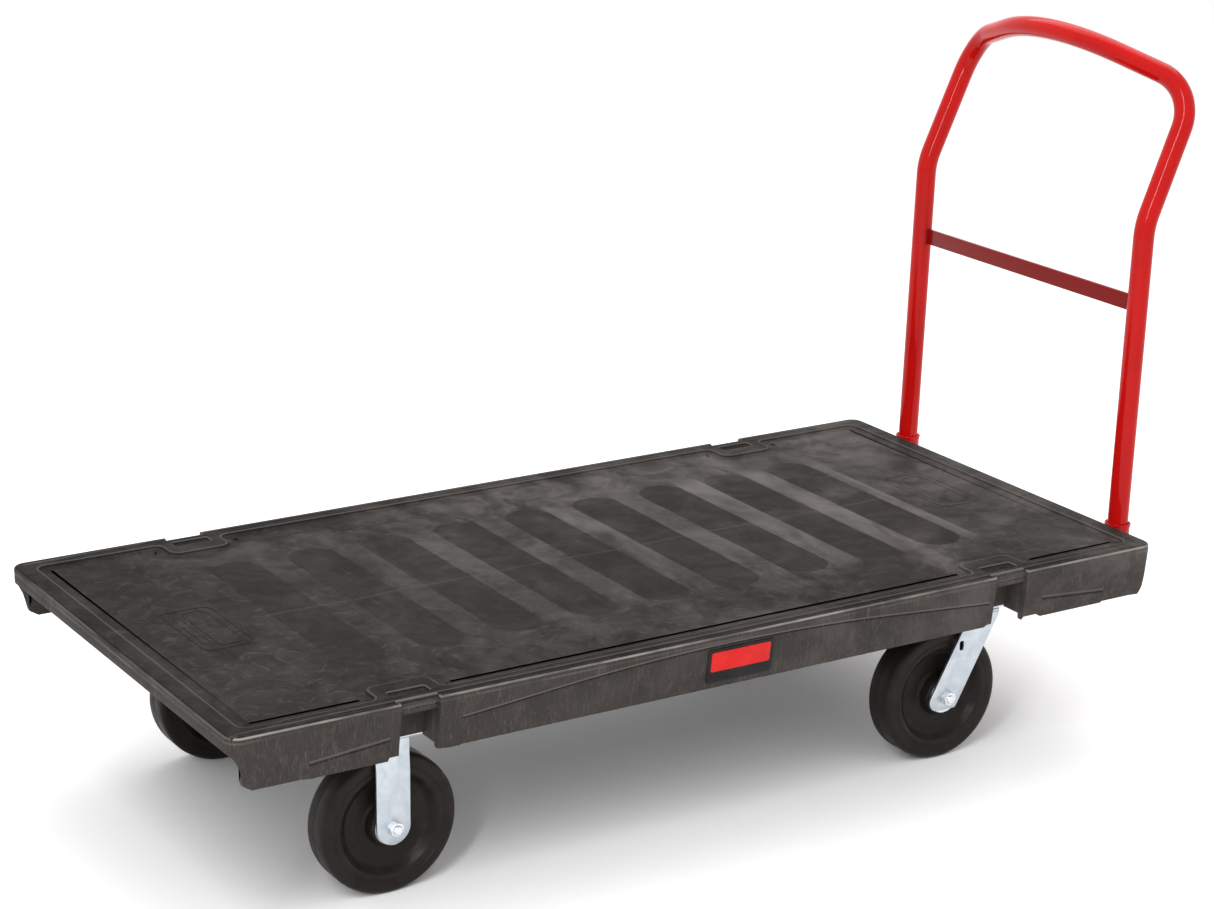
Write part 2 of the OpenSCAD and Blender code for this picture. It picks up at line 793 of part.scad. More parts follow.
module swivel_plate(side) {
    color([0.74, 0.78, 0.83]) at_kingpin(side) difference() {
        mount_plate();
        groove(race_r, upper_ball_z, ball_r + fit);
        translate([0, 0, plate_z - eps]) cylinder(r = kingpin_r, h = far);
    }
}

// Upright pin that the whole fork turns about, fixed in the mounting plate
module kingpin(side) {
    color([0.6, 0.61, 0.63]) at_kingpin(side)
        translate([0, 0, low_cup_z - low_cup_t - pin_nut_h - pin_end])
        cylinder(r = kingpin_r, h = mount_z - low_cup_z + low_cup_t + pin_nut_h + pin_end);
}

module kingpin_nut(side) {
    color([0.7, 0.71, 0.73]) at_kingpin(side) translate([0, 0, low_cup_z - low_cup_t - pin_nut_h])
        difference() {
            hex_bar(pin_nut_hex, pin_nut_h);
            translate([0, 0, -eps]) cylinder(r = kingpin_r, h = pin_nut_h + 2 * eps);
        }
}

// Ring of n balls of radius r about the kingpin
module balls(side, n, ring_r, z, r) {
    color([0.8, 0.8, 0.82]) at_kingpin(side) for (i = [1 : n])
        rotate(i * 360 / n) translate([ring_r, 0, z]) sphere(r = r);
}

// Cup under the fork's crown that the lower balls run in
module lower_race(side) {
    color([0.6, 0.61, 0.63]) at_kingpin(side) difference() {
        translate([0, 0, low_cup_z - low_cup_t]) ring(low_cup_r, kingpin_r, low_cup_t);
        groove(low_race_r, low_ball_z, low_ball_r);
    }
}

// Seal round the upper balls; it hangs from the mounting plate
module dust_ring(side) {
    color([0.12, 0.12, 0.12]) at_kingpin(side) translate([0, 0, yoke_z + yoke_t + face_gap])
        ring(dust_r, dust_r - dust_t, race_gap - face_gap);
}

// Fork of a swivelling caster; its legs lean so that the wheel trails behind the kingpin
module swivel_yoke(side) {
    top_x = -trail + (yoke_z - axle_z) * leg_slope;
    half = leg_w / 2 / cos(atan(leg_slope));
    low = axle_z - leg_below;
    low_x = -trail - half + (low - axle_z) * leg_slope;
    color([0.74, 0.78, 0.83]) at_kingpin(side) difference() {
        union() {
            translate([0, 0, yoke_z]) cylinder(r = crown_r, h = yoke_t);
            block(top_x, 0, 2 * half, 2 * outer_half, yoke_z, yoke_z + yoke_t);
            for (y = [-outer_half, inner_half]) side_view(y, y + leg_t)
                polygon(concat([[top_x + half, yoke_z + eps], [top_x - half, yoke_z + eps]],
                    arc(low_x + 1.7 * leg_foot_r, low + leg_foot_r, leg_foot_r, 180 - leg_angle, 270),
                    [[low_x + 2 * half, low]]));
        }
        translate([-trail, 0, axle_z]) along_y(-far / 2) cylinder(r = axle_d / 2, h = far);
        translate([0, 0, yoke_z - eps]) cylinder(r = kingpin_r + fit, h = far);
        groove(race_r, upper_ball_z, ball_r + fit);
        groove(low_race_r, low_ball_z, low_ball_r + fit);
        block(top_x - half + slot_in - slot_drop * leg_slope, 0, slot_w, far,
            yoke_z - slot_drop - slot_h / 2, yoke_z - slot_drop + slot_h / 2);
    }
}

// ---- The parts ----------------------------------------------------------

deck();
channel(left);  // channel_left
channel(right);  // channel_right
channel_screws();
side_plate(left);  // side_plate_left
side_plate(right);  // side_plate_right
side_inlay(left);  // side_inlay_left
side_inlay(right);  // side_inlay_right
handle_tube();
handle_crossbar();
handle_socket(left);  // handle_socket_left
handle_socket(right);  // handle_socket_right
socket_bolts();
caster_bolts();
threaded_inserts();
rigid_fork(left);  // rigid_fork_left
rigid_fork(right);  // rigid_fork_right
axle_bolt(-caster_x, left);  // rigid_axle_left
axle_bolt(-caster_x, right);  // rigid_axle_right
axle_nut(-caster_x, left);  // rigid_nut_left
axle_nut(-caster_x, right);  // rigid_nut_right
axle_sleeve(-caster_x, left);  // rigid_sleeve_left
axle_sleeve(-caster_x, right);  // rigid_sleeve_right
hub_washers(-caster_x, left);  // rigid_washers_left
hub_washers(-caster_x, right);  // rigid_washers_right
wheel(-caster_x, left);  // rigid_wheel_left
wheel(-caster_x, right);  // rigid_wheel_right
rollers(-caster_x, left);  // rigid_rollers_left
rollers(-caster_x, right);  // rigid_rollers_right
swivel_plate(left);  // swivel_plate_left
swivel_plate(right);  // swivel_plate_right
kingpin(left);  // kingpin_left
kingpin(right);  // kingpin_right
kingpin_nut(left);  // kingpin_nut_left
kingpin_nut(right);  // kingpin_nut_right
balls(left, ball_n, race_r, upper_ball_z, ball_r);  // upper_balls_left
balls(right, ball_n, race_r, upper_ball_z, ball_r);  // upper_balls_right
balls(left, low_ball_n, low_race_r, low_ball_z, low_ball_r);  // lower_balls_left
balls(right, low_ball_n, low_race_r, low_ball_z, low_ball_r);  // lower_balls_right
lower_race(left);  // lower_race_left
lower_race(right);  // lower_race_right
dust_ring(left);  // dust_ring_left
dust_ring(right);  // dust_ring_right
swivel_yoke(left);  // swivel_yoke_left
swivel_yoke(right);  // swivel_yoke_right
axle_bolt(caster_x - trail, left);  // swivel_axle_left
axle_bolt(caster_x - trail, right);  // swivel_axle_right
axle_nut(caster_x - trail, left);  // swivel_nut_left
axle_nut(caster_x - trail, right);  // swivel_nut_right
axle_sleeve(caster_x - trail, left);  // swivel_sleeve_left
axle_sleeve(caster_x - trail, right);  // swivel_sleeve_right
hub_washers(caster_x - trail, left);  // swivel_washers_left
hub_washers(caster_x - trail, right);  // swivel_washers_right
wheel(caster_x - trail, left);  // swivel_wheel_left
wheel(caster_x - trail, right);  // swivel_wheel_right
rollers(caster_x - trail, left);  // swivel_rollers_left
rollers(caster_x - trail, right);  // swivel_rollers_right
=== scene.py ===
# %% [markdown]
# # A platform truck around its CAD frame
# The CAD model already holds the real sizes and joints of this truck: a moulded plastic deck on
# four casters, with a bent tube handle at one end. Here each part that shows gets a finer surface
# and a finish of its own. The work goes from the outside in: camera and light first, then the
# helpers, then the deck, the handle, the casters, and last the small hardware.

# %% Load the frame
import json

import bpy
import bmesh
import numpy as np
from mathutils import Matrix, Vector
from mathutils.geometry import tessellate_polygon

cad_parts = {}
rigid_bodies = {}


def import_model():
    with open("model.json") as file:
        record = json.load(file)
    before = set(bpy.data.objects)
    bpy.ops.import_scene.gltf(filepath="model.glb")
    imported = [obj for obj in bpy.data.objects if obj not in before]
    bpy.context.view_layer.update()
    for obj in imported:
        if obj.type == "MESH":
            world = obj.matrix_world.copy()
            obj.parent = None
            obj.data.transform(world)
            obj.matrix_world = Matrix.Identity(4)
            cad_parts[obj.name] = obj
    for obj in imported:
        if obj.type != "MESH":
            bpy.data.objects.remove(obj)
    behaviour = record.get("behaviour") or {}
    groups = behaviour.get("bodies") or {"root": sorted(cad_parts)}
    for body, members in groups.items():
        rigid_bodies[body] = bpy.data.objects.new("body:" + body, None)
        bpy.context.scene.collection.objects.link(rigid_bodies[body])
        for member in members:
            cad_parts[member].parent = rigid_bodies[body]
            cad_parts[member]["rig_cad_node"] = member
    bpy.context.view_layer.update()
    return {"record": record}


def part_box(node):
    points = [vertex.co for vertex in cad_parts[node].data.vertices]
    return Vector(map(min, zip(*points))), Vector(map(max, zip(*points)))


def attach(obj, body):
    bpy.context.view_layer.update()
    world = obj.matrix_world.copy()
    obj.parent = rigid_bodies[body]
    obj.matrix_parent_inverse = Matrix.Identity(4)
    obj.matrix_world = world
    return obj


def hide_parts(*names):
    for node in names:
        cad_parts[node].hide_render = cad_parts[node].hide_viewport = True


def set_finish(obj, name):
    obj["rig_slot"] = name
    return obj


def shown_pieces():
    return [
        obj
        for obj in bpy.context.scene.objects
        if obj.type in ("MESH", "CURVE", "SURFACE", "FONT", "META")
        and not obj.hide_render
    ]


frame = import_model()
MM = 0.001

# %% [markdown]
# The CAD origin lies under the middle of the whole truck. Deck details are easier to place from
# the middle of the deck, so one shift in X is measured here and added to every point later.

# %% Measure the frame
deck_lo, deck_hi = (np.array(corner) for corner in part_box("deck"))
DECK_X = (deck_lo[0] + deck_hi[0]) / 2 / MM
HALF_L = (deck_hi[0] - deck_lo[0]) / 2 / MM
HALF_W = (deck_hi[1] - deck_lo[1]) / 2 / MM
TOP_Z = deck_hi[2] / MM
print(f"deck {2 * HALF_L:.0f} x {2 * HALF_W:.0f} mm, top at {TOP_Z:.1f} mm, middle at x {DECK_X:.1f} mm")

# %% [markdown]
# ## Camera
# A long lens from the front left, a little above the handle. A camera's matrix holds its right,
# up and backward directions, so the three turns are multiplied in that order.

# %% Camera
HEADING, TILT, ROLL = -0.5528, -0.3024, -0.0115
CAMERA_AT, FOCAL_LENGTH = (-2.24586, -3.5536, 1.7695), 88.19
turn = Matrix.Rotation(HEADING, 4, "Z") @ Matrix.Rotation(TILT, 4, "X") @ Matrix.Rotation(ROLL, 4, "Y")
camera_data = bpy.data.cameras.new("camera")
camera_data.lens = FOCAL_LENGTH
camera_data.shift_x, camera_data.shift_y = 0.0056, -0.0005
camera = bpy.data.objects.new("camera", camera_data)
look = Matrix(((1, 0, 0, 0), (0, 0, -1, 0), (0, 1, 0, 0), (0, 0, 0, 1)))
camera.matrix_world = Matrix.Translation(CAMERA_AT) @ turn @ look
bpy.context.scene.collection.objects.link(camera)
bpy.context.scene.camera = camera
print(f"camera {np.linalg.norm(CAMERA_AT):.2f} m from the truck's middle, lens {FOCAL_LENGTH:.0f} mm")

# %% [markdown]
# ## Helpers for shapes
# Every new surface is a grid of points worked out with numpy, plus flat caps. These few helpers
# make grids of faces, round the corners of outlines, and put the result into a mesh.

# %% Grids of faces
def unit(v):
    """Each row of v divided by its length."""
    return v / np.maximum(np.linalg.norm(v, axis=-1, keepdims=True), 1e-12)


def grid_faces(rows, cols, wrap_rows=False, wrap_cols=False):
    """Quads of a grid of points: each joins point (r, c) to its neighbours below and to the right."""
    r = np.arange(rows if wrap_rows else rows - 1)[:, None]
    c = np.arange(cols if wrap_cols else cols - 1)[None, :]
    r1, c1 = (r + 1) % rows, (c + 1) % cols
    corners = [r * cols + c, r1 * cols + c, r1 * cols + c1, r * cols + c1]
    return np.stack([np.broadcast_to(k, (len(r), c.shape[1])) for k in corners], -1).reshape(-1, 4)


print("a ring of 3 by 4 points has", len(grid_faces(3, 4, wrap_cols=True)), "quads")

# %% [markdown]
# No real part has sharp corners. An outline is drawn with straight lines, and then each corner is
# swapped for an arc. The arc's points come from turning one radius towards the other by equal
# steps, which works in a plane and in space alike, so the same helper bends the handle's tube.

# %% Round corners
def arcs(points, radii, steps=6, closed=True):
    """Points joined by straight lines, each corner swapped for an arc that touches both its lines.
    The arc's middle lies on the corner's bisector, a radius over the sine of half the angle away."""
    p = np.asarray(points, float)
    inner = p if closed else p[1:-1]
    back = np.roll(p, 1, 0) if closed else p[:-2]
    ahead = np.roll(p, -1, 0) if closed else p[2:]
    r = np.broadcast_to(np.maximum(radii, 0.01), len(inner))[:, None]
    a, b = unit(back - inner), unit(ahead - inner)
    middle = unit(a + b)
    half = np.arccos(np.clip((a * middle).sum(1), -1, 1))[:, None]
    centre = inner + middle * r / np.sin(half)
    start, end = inner + a * r / np.tan(half) - centre, inner + b * r / np.tan(half) - centre
    wide = np.arccos(np.clip((unit(start) * unit(end)).sum(1), -1, 1))[:, None, None]
    t = np.linspace(0, 1, steps)[None, :, None]
    swing = (np.sin((1 - t) * wide) * start[:, None] + np.sin(t * wide) * end[:, None]) / np.sin(wide)
    bent = (centre[:, None] + swing).reshape(-1, p.shape[1])
    return bent if closed else np.vstack([p[:1], bent, p[-1:]])


def rect(x0, x1, y0, y1, r, steps=6):
    """A rectangle with round corners, anticlockwise."""
    return arcs([[x0, y0], [x1, y0], [x1, y1], [x0, y1]], r, steps)


def circle(x, y, r, n=20):
    """A circle as an anticlockwise outline."""
    a = np.linspace(0, 2 * np.pi, n, endpoint=False)
    return np.stack([x + r * np.cos(a), y + r * np.sin(a)], -1)


print("a square with round corners has", len(rect(0, 40, 0, 40, 8)), "points")

# %% [markdown]
# An outline that moves sideways by a little gives the next row of a rounded edge or of a groove.
# The flat inside a closed outline is filled with triangles, and holes are left open.

# %% Move and fill outlines
def grow(outline, by):
    """The outline moved to its right: outward if it runs anticlockwise, into the hole if clockwise.
    Each point goes along its mitre, the middle between its two sides' normals."""
    ahead = unit(np.roll(outline, -1, 0) - outline)
    behind = np.roll(ahead, 1, 0)
    side = unit(np.stack([ahead[:, 1] + behind[:, 1], -ahead[:, 0] - behind[:, 0]], -1))
    mitre = np.maximum((side * np.stack([ahead[:, 1], -ahead[:, 0]], -1)).sum(1, keepdims=True), 0.5)
    return outline + side * by / mitre


def flat_fill(outlines, up=True):
    """Triangles that fill the first outline less the others, as numbers in all their points together.
    They are picked on a copy whose straight sides bend slightly inwards, so that none lies within a side."""
    p = np.vstack(outlines)
    middle, half = (p.max(0) + p.min(0)) / 2, (p.max(0) - p.min(0)) / 2
    share = (p - middle) / half
    p = share * half * (1 - 0.02 * (1 - share[:, ::-1] ** 2))
    bent = np.split(p, np.cumsum([len(o) for o in outlines])[:-1])
    tris = np.array(tessellate_polygon([[(x, y, 0) for x, y in o] for o in bent]))
    a, b, c = p[tris[:, 0]], p[tris[:, 1]], p[tris[:, 2]]
    area = (b[:, 0] - a[:, 0]) * (c[:, 1] - a[:, 1]) - (b[:, 1] - a[:, 1]) * (c[:, 0] - a[:, 0])
    wrong = (area < 0) if up else (area > 0)
    tris[wrong] = tris[wrong][:, ::-1]
    return tris


framed = [rect(0, 9, 0, 9, 1, 2), rect(3, 6, 3, 6, 1, 2)[::-1]]
print("a square with a square hole fills with", len(flat_fill(framed)), "triangles")

# %% [markdown]
# A part is a pair: its points in millimetres, and its faces. Several parts make one piece, which
# rides on a CAD body and may stand for CAD nodes. The volume of a closed part tells whether its
# faces point outwards, so a part that came out inside out is turned here.

# %% Closed parts
def volume(points, faces):
    """Sum over the faces of the signed volume of the pyramid to the origin."""
    a = points[faces[:, 0]]
    total = (a * np.cross(points[faces[:, 1]], points[faces[:, 2]])).sum()
    if faces.shape[1] == 4:
        total += (a * np.cross(points[faces[:, 2]], points[faces[:, 3]])).sum()
    return total / 6


def part(*sheets):
    """Joins (points, faces) sheets into one closed part, turned so that its faces point outwards."""
    points, faces, start = [], [], 0
    for p, f in sheets:
        f = np.asarray(f)
        if f.shape[1] == 3:
            f = np.hstack([f, f[:, 2:]])
        points.append(np.reshape(p, (-1, 3)))
        faces.append(f + start)
        start += len(points[-1])
    points, faces = np.vstack(points), np.vstack(faces)
    middle = points.mean(0)
    if volume(points - middle, faces) < 0:
        faces = faces[:, ::-1]
    return points, faces


def part_join(parts):
    """All parts' points and faces as one array each."""
    starts = np.cumsum([0] + [len(p) for p, _ in parts[:-1]])
    return np.vstack([p for p, _ in parts]), np.vstack([f + s for (_, f), s in zip(parts, starts)])


cube_points = np.array([[x, y, z] for x in (0, 1) for y in (0, 1) for z in (0, 1)], float)
cube_faces = np.array([[0, 1, 3, 2], [4, 6, 7, 5], [0, 4, 5, 1], [2, 3, 7, 6], [0, 2, 6, 4], [1, 5, 7, 3]])
print("a cube of side 1 has volume", round(volume(*part((cube_points, cube_faces))), 3))

# %% [markdown]
# Where two sheets of one part meet, their points lie at the same place, so points nearer than two
# thousandths of a millimetre become one. A face drawn with a point twice loses the spare one. What
# stays sharp is told by the angle between faces, and everything else is shaded smooth.

# %% From parts to pieces
MERGE_GAP = 2e-6


def piece(name, parts, body, slot, *stands_for, axle=None, sharp=0.65):
    """Makes a mesh of the parts, merges points that meet, and hangs it on a CAD body.
    axle is the middle that the attribute "turned" is counted from, for finishes made on a lathe."""
    points, faces = part_join(parts)
    mesh = bpy.data.meshes.new(name)
    corner_lists = [list(dict.fromkeys(f)) for f in faces.tolist()]
    mesh.from_pydata(((points + [DECK_X, 0, 0]) * MM).tolist(), [], corner_lists)
    shell = bmesh.new()
    shell.from_mesh(mesh)
    bmesh.ops.remove_doubles(shell, verts=shell.verts, dist=MERGE_GAP)
    bmesh.ops.delete(shell, geom=[e for e in shell.edges if not e.link_faces], context="EDGES")
    shell.to_mesh(mesh)
    open_edges = sum(not e.is_manifold for e in shell.edges)
    shell.free()
    mesh.shade_smooth()
    mesh.set_sharp_from_angle(angle=sharp)
    if axle is not None:
        place = np.zeros(len(mesh.vertices) * 3)
        mesh.vertices.foreach_get("co", place)
        from_axle = place.reshape(-1, 3) - (np.array(axle) + [DECK_X, 0, 0]) * MM
        turned = mesh.attributes.new("turned", "FLOAT_VECTOR", "POINT")
        turned.data.foreach_set("vector", from_axle.ravel().astype(np.float32))
    made = bpy.data.objects.new(name, mesh)
    bpy.context.scene.collection.objects.link(made)
    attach(made, body)
    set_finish(made, slot)
    if stands_for:
        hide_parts(*stands_for)
    print(name, len(mesh.vertices), "points", len(mesh.polygons), "faces", open_edges, "open edges")


# %% [markdown]
# Most pressed and moulded details are plates: an outline with some thickness, whose edges are
# rounded over, with holes where bolts go. Round parts are turned, as on a lathe: half a section is
# drawn and carried once round the axis.

# %% Plates and turned parts
def plate(outlines, thick, edge, origin, u_dir=(1, 0, 0), v_dir=(0, 1, 0), steps=3):
    """A flat sheet with rounded edges. The first outline is its rim; the others are holes, clockwise.
    Each outline sweeps down the thickness while it moves in and out by the sine of a quarter turn."""
    bend = np.radians(np.linspace(0, 90, steps + 1))
    shift = np.concatenate([edge * (np.sin(bend) - 1), edge * (np.sin(bend[::-1]) - 1)])
    half = thick / 2 - edge
    height = np.concatenate([half + edge * np.cos(bend), -half - edge * np.cos(bend[::-1])])
    u, v = np.array(u_dir, float), np.array(v_dir, float)
    frame_uvw = np.stack([u, v, np.cross(u, v)])
    sheets, tops = [], []
    for outline in outlines:
        rows = np.stack([grow(outline, s) for s in shift])
        z = np.broadcast_to(height[:, None, None], rows.shape[:2] + (1,))
        quads = grid_faces(len(shift), len(outline), wrap_cols=True)
        sheets.append((np.concatenate([rows, z], -1).reshape(-1, 3), quads))
        tops.append(rows[0])
    rim, fill = np.vstack(tops), flat_fill(tops)
    top, bottom = (np.hstack([rim, np.full((len(rim), 1), z)]) for z in (height[0], height[-1]))
    sheets += [(top, fill), (bottom, fill[:, ::-1])]
    points, faces = part(*sheets)
    return np.asarray(origin, float) + points @ frame_uvw, faces


def box(x0, x1, y0, y1, z0, z1, edge=1.0, r=2.0):
    """A block with round edges: a thick plate that lies flat."""
    return plate([rect(x0, x1, y0, y1, r, 4)], z1 - z0, edge, (0, 0, (z0 + z1) / 2), steps=2)


def lathe(section, centre, turns=72, axis=(0, 1, 0), ref=(1, 0, 0)):
    """A closed section of (radius, distance along the axis) points, turned once round the axis."""
    section, axis, ref = np.asarray(section, float), np.array(axis, float), np.array(ref, float)
    angle = np.linspace(0, 2 * np.pi, turns, endpoint=False)[:, None, None]
    round_dir = np.cos(angle) * ref + np.sin(angle) * np.cross(axis, ref)
    points = section[None, :, :1] * round_dir + section[None, :, 1:] * axis
    return part((np.asarray(centre, float) + points, grid_faces(turns, len(section), True, True)))


disc = lathe([(0, 0), (10, 0), (10, 1), (0, 1)], (0, 0, 0))
print("a turned disc of radius 10 and height 1 has volume", round(volume(*disc), 1))

# %% [markdown]
# ## The deck
# The deck is one structural foam moulding: a flat top with a low rim, skirts along both sides that
# lean inwards, and a short lip at each end. Its edges are soft, as they are on every part that has
# to leave a mould. The wall all round is made as a profile carried along the deck's outline. At
# each place along the way the profile knows how deep the skirt is, whether one of the shallow
# panels is there, and whether a strap pocket cuts the wall away.

# %% Along the deck's outline
EDGE_R, CORNER_R, SKIRT_H, LEAN = 5, 20, 77, 9
WALL_TOP, PLATE_UNDER = TOP_Z - 14, TOP_Z - 12
TIE_X, POCKET_HALF, BAR_T = 490, 29, 20.5
ARCH_SLOPE, ARCH_BOW = 0.0865, 274
PANELS = [(-426, 452, -2.2), (-650, -534, 1.8), (552, 671, 1.8)]
RAISED = [(-742, -658), (-534, -461), (452, 463.5), (521, 552), (671, 742)]


def stations(half, marks, pitch):
    """Evenly spaced places from -half to half, with the marks added and nearly equal ones dropped."""
    even = np.linspace(-half, half, int(2 * half / pitch) + 1)
    marks = np.sort(np.asarray(marks, float))
    near = np.abs(even[:, None] - marks[None, :]).min(1) if len(marks) else np.full(len(even), 99)
    return np.sort(np.concatenate([even[(near > pitch / 4) | (np.abs(even) == half)], marks]))


step_marks = [x + s for a, b, _ in PANELS for x in (a, b) for s in (-1.6, 1.6)]
step_marks += [x + s for a, b in RAISED for x in (a, b) for s in (-1.5, 1.5) if abs(x + s) < 741]
side_x = stations(HALF_L - CORNER_R, step_marks, 14)
pocket_ends = [(sign * TIE_X - POCKET_HALF, sign * TIE_X + POCKET_HALF) for sign in (-1, 1)]
for lo, hi in pocket_ends:
    side_x = side_x[(np.abs(side_x - lo) > 2) & (np.abs(side_x - hi) > 2)]
    side_x = np.sort(np.concatenate([side_x, [lo, lo, hi, hi]]))
in_pocket = np.zeros(len(side_x), bool)
for lo, hi in pocket_ends:
    in_pocket |= (side_x > lo) & (side_x < hi)
    in_pocket[np.flatnonzero(side_x == lo)[1]] = True
    in_pocket[np.flatnonzero(side_x == hi)[0]] = True
print(len(side_x), "stations along each side,", in_pocket.sum(), "of them over a pocket")

# %% [markdown]
# The skirt's lower edge is straight, a few millimetres higher in the stiffening strips, and it
# sweeps up to the lip at both ends. The panels start below a shallow arch that is highest in the
# middle of the deck.

# %% How the wall changes along the deck
def ramp(x, a, b, soft=1.6):
    """1 between a and b, 0 outside, with a straight slope of 2 * soft at both."""
    return np.clip((x - a) / (2 * soft) + 0.5, 0, 1) * np.clip((b - x) / (2 * soft) + 0.5, 0, 1)


def skirt_bottom(x):
    """Height of the skirt's lower edge at a distance x from the middle."""
    end_x = [-762, -756, -747, -741, -738, -731, 746, 753, 755, 762]
    end_z = [25, 31, 49, 71, 78, 81, 81, 74, 71, 29]
    lift = sum((4 if abs(a) < 600 and abs(b) < 600 else 1) * ramp(x, a, b, 1.5) for a, b in RAISED)
    return TOP_Z - np.interp(x, end_x, end_z) + lift * (np.abs(x) < 730)


def arch_line(x):
    """Height of the arch: a parabola in the middle that runs on as straight slopes."""
    far = np.abs(x)
    drop = np.where(far < ARCH_BOW, ARCH_SLOPE * x * x / (2 * ARCH_BOW), ARCH_SLOPE * (far - ARCH_BOW / 2))
    return WALL_TOP - drop


skirt_deep = [round(TOP_Z - float(skirt_bottom(x))) for x in (-762, -700, 0, 700, 762)]
print("skirt", skirt_deep, "mm deep along the deck")

# %% [markdown]
# The outline runs anticlockwise: along one side, round a corner, across an end, and so on. Every
# station keeps its place and the direction that points outwards there.

# %% The outline's stations
corner_turn = np.linspace(-np.pi / 2, 0, 12)[1:-1]
cx, cy = np.cos(corner_turn) * CORNER_R, np.sin(corner_turn) * CORNER_R
end_y = stations(HALF_W - CORNER_R, [-295, -239, 239, 295], 24)
flat_l, flat_w = HALF_L - CORNER_R, HALF_W - CORNER_R


def run(x, y, nx, ny, pocket=0):
    """One stretch of the outline: place, outward direction and whether a pocket is there."""
    n = max(np.size(x), np.size(y))
    return np.stack([np.broadcast_to(v, n) for v in (x, y, nx, ny, pocket)], -1)


turn_x, turn_y = cx / CORNER_R, cy / CORNER_R
walk = np.vstack([
    run(side_x, -HALF_W, 0, -1, in_pocket), run(flat_l + cx, -flat_w + cy, turn_x, turn_y),
    run(HALF_L, end_y, 1, 0), run(flat_l - cy, flat_w + cx, -turn_y, turn_x),
    run(side_x[::-1], HALF_W, 0, 1, in_pocket[::-1]), run(-flat_l - cx, flat_w - cy, -turn_x, -turn_y),
    run(-HALF_L, end_y[::-1], -1, 0), run(-flat_l + cy, -flat_w - cx, turn_y, -turn_x),
])
print(len(walk), "stations round the deck")

# %% [markdown]
# Now the profile itself, from the top of the rounded edge down the outer face, under the wall and
# up its inner face. Each row is a distance out from the outline and a height, for all stations at
# once.

# %% The wall's profile
wx, wy, nx, ny, pocket = walk.T
sideness = np.abs(ny)
foot = np.where(pocket > 0, TOP_Z - BAR_T, skirt_bottom(wx))
panel = sum(depth * ramp(wx, a, b) for a, b, depth in PANELS) * (sideness > 0.999) * (pocket == 0)
step_z = np.maximum(arch_line(wx) * (sideness > 0.5) + WALL_TOP * (sideness <= 0.5), foot + 5)
inner = np.where(pocket > 0, 24.0, 24 - 5 * np.clip((sideness - 0.3) / 0.5, 0, 1))
quarter_turn = np.radians(np.linspace(0, 90, 7))
rows = [(-EDGE_R + EDGE_R * np.sin(a), TOP_Z - EDGE_R + EDGE_R * np.cos(a)) for a in quarter_turn]
rows = [(np.full(len(walk), d), np.full(len(walk), z)) for d, z in rows]


def leaning(z):
    """How far the outer face lies inside the outline: nothing at the top, the whole lean at the foot."""
    return -LEAN * np.clip((WALL_TOP - z) / (SKIRT_H - 14), 0, 1) * sideness


def end_groove(z):
    """A soft groove across both ends: a bell curve 1.1 mm deep, 13 mm below the deck's top."""
    return -1.1 * np.exp(-(((z - TOP_Z + 13) / 2.6) ** 2)) * np.clip(1 - 2 * sideness, 0, 1)


for share in (0.35, 0.7):
    z = TOP_Z - EDGE_R + share * (step_z + 3.2 - TOP_Z + EDGE_R)
    rows.append((leaning(z) + end_groove(z), z))
for off, cut, lip in ((3.2, 0, 0.1), (1.5, 0, 1), (0.4, 0.1, 0.8), (-0.4, 0.9, 0), (-1.4, 1, 0)):
    z = step_z + off
    rows.append((leaning(z) + end_groove(z) + cut * panel + lip * 0.9 * (panel < -0.1), z))
for share in (0.2, 0.4, 0.6, 0.8, 1):
    z = (step_z - 1.4) * (1 - share) + (foot + 2.2) * share
    rows.append((leaning(z) + end_groove(z) + panel, z))
face_foot = rows[-1][0]
for a in np.radians([30, 60, 90]):
    rows.append((face_foot - 2.2 * (1 - np.cos(a)), foot + 2.2 - 2.2 * np.sin(a)))
rows += [(-inner + 2, foot), (-inner + 0.6, foot + 0.6), (-inner, foot + 2)]
rows += [(-inner, np.full(len(walk), PLATE_UNDER))]
print(len(rows), "rows in the wall's profile")

# %% [markdown]
# Outside each slot the wall shrinks to a bar for the strap to go round. The bar lies a little lower
# and further in than the wall beside it. On the inside, the corners are square: a round one would
# be tighter than the wall is thick, and its rows would cross.

# %% The wall as a grid
out, high = (np.stack([row[k] for row in rows]) for k in (0, 1))
BAR_BACK, BAR_LOW = 6, 3
out[:-4] -= BAR_BACK * pocket
high[:9] -= BAR_LOW * pocket
wall = np.stack([wx + out * nx, wy + out * ny, high], -1)
END_INNER, SIDE_INNER = HALF_L - 24.0, HALF_W - 19.0
in_corner = (np.abs(nx) > 0.001) & (np.abs(ny) > 0.001)
wall[-4:, :, 0] = np.where(in_corner, np.sign(nx) * END_INNER, wall[-4:, :, 0])
wall[-4:, :, 1] = np.where(in_corner, np.sign(ny) * SIDE_INNER, wall[-4:, :, 1])
wall_sheet = (wall, grid_faces(len(rows), len(walk), wrap_cols=True))
print("wall", wall.shape)

# %% [markdown]
# The load floor lies a few millimetres below the rim, so that a load can't slide off. The rim widens
# round each of the four slots. Its inner outline is drawn once, as straight lines with their corners
# rounded.

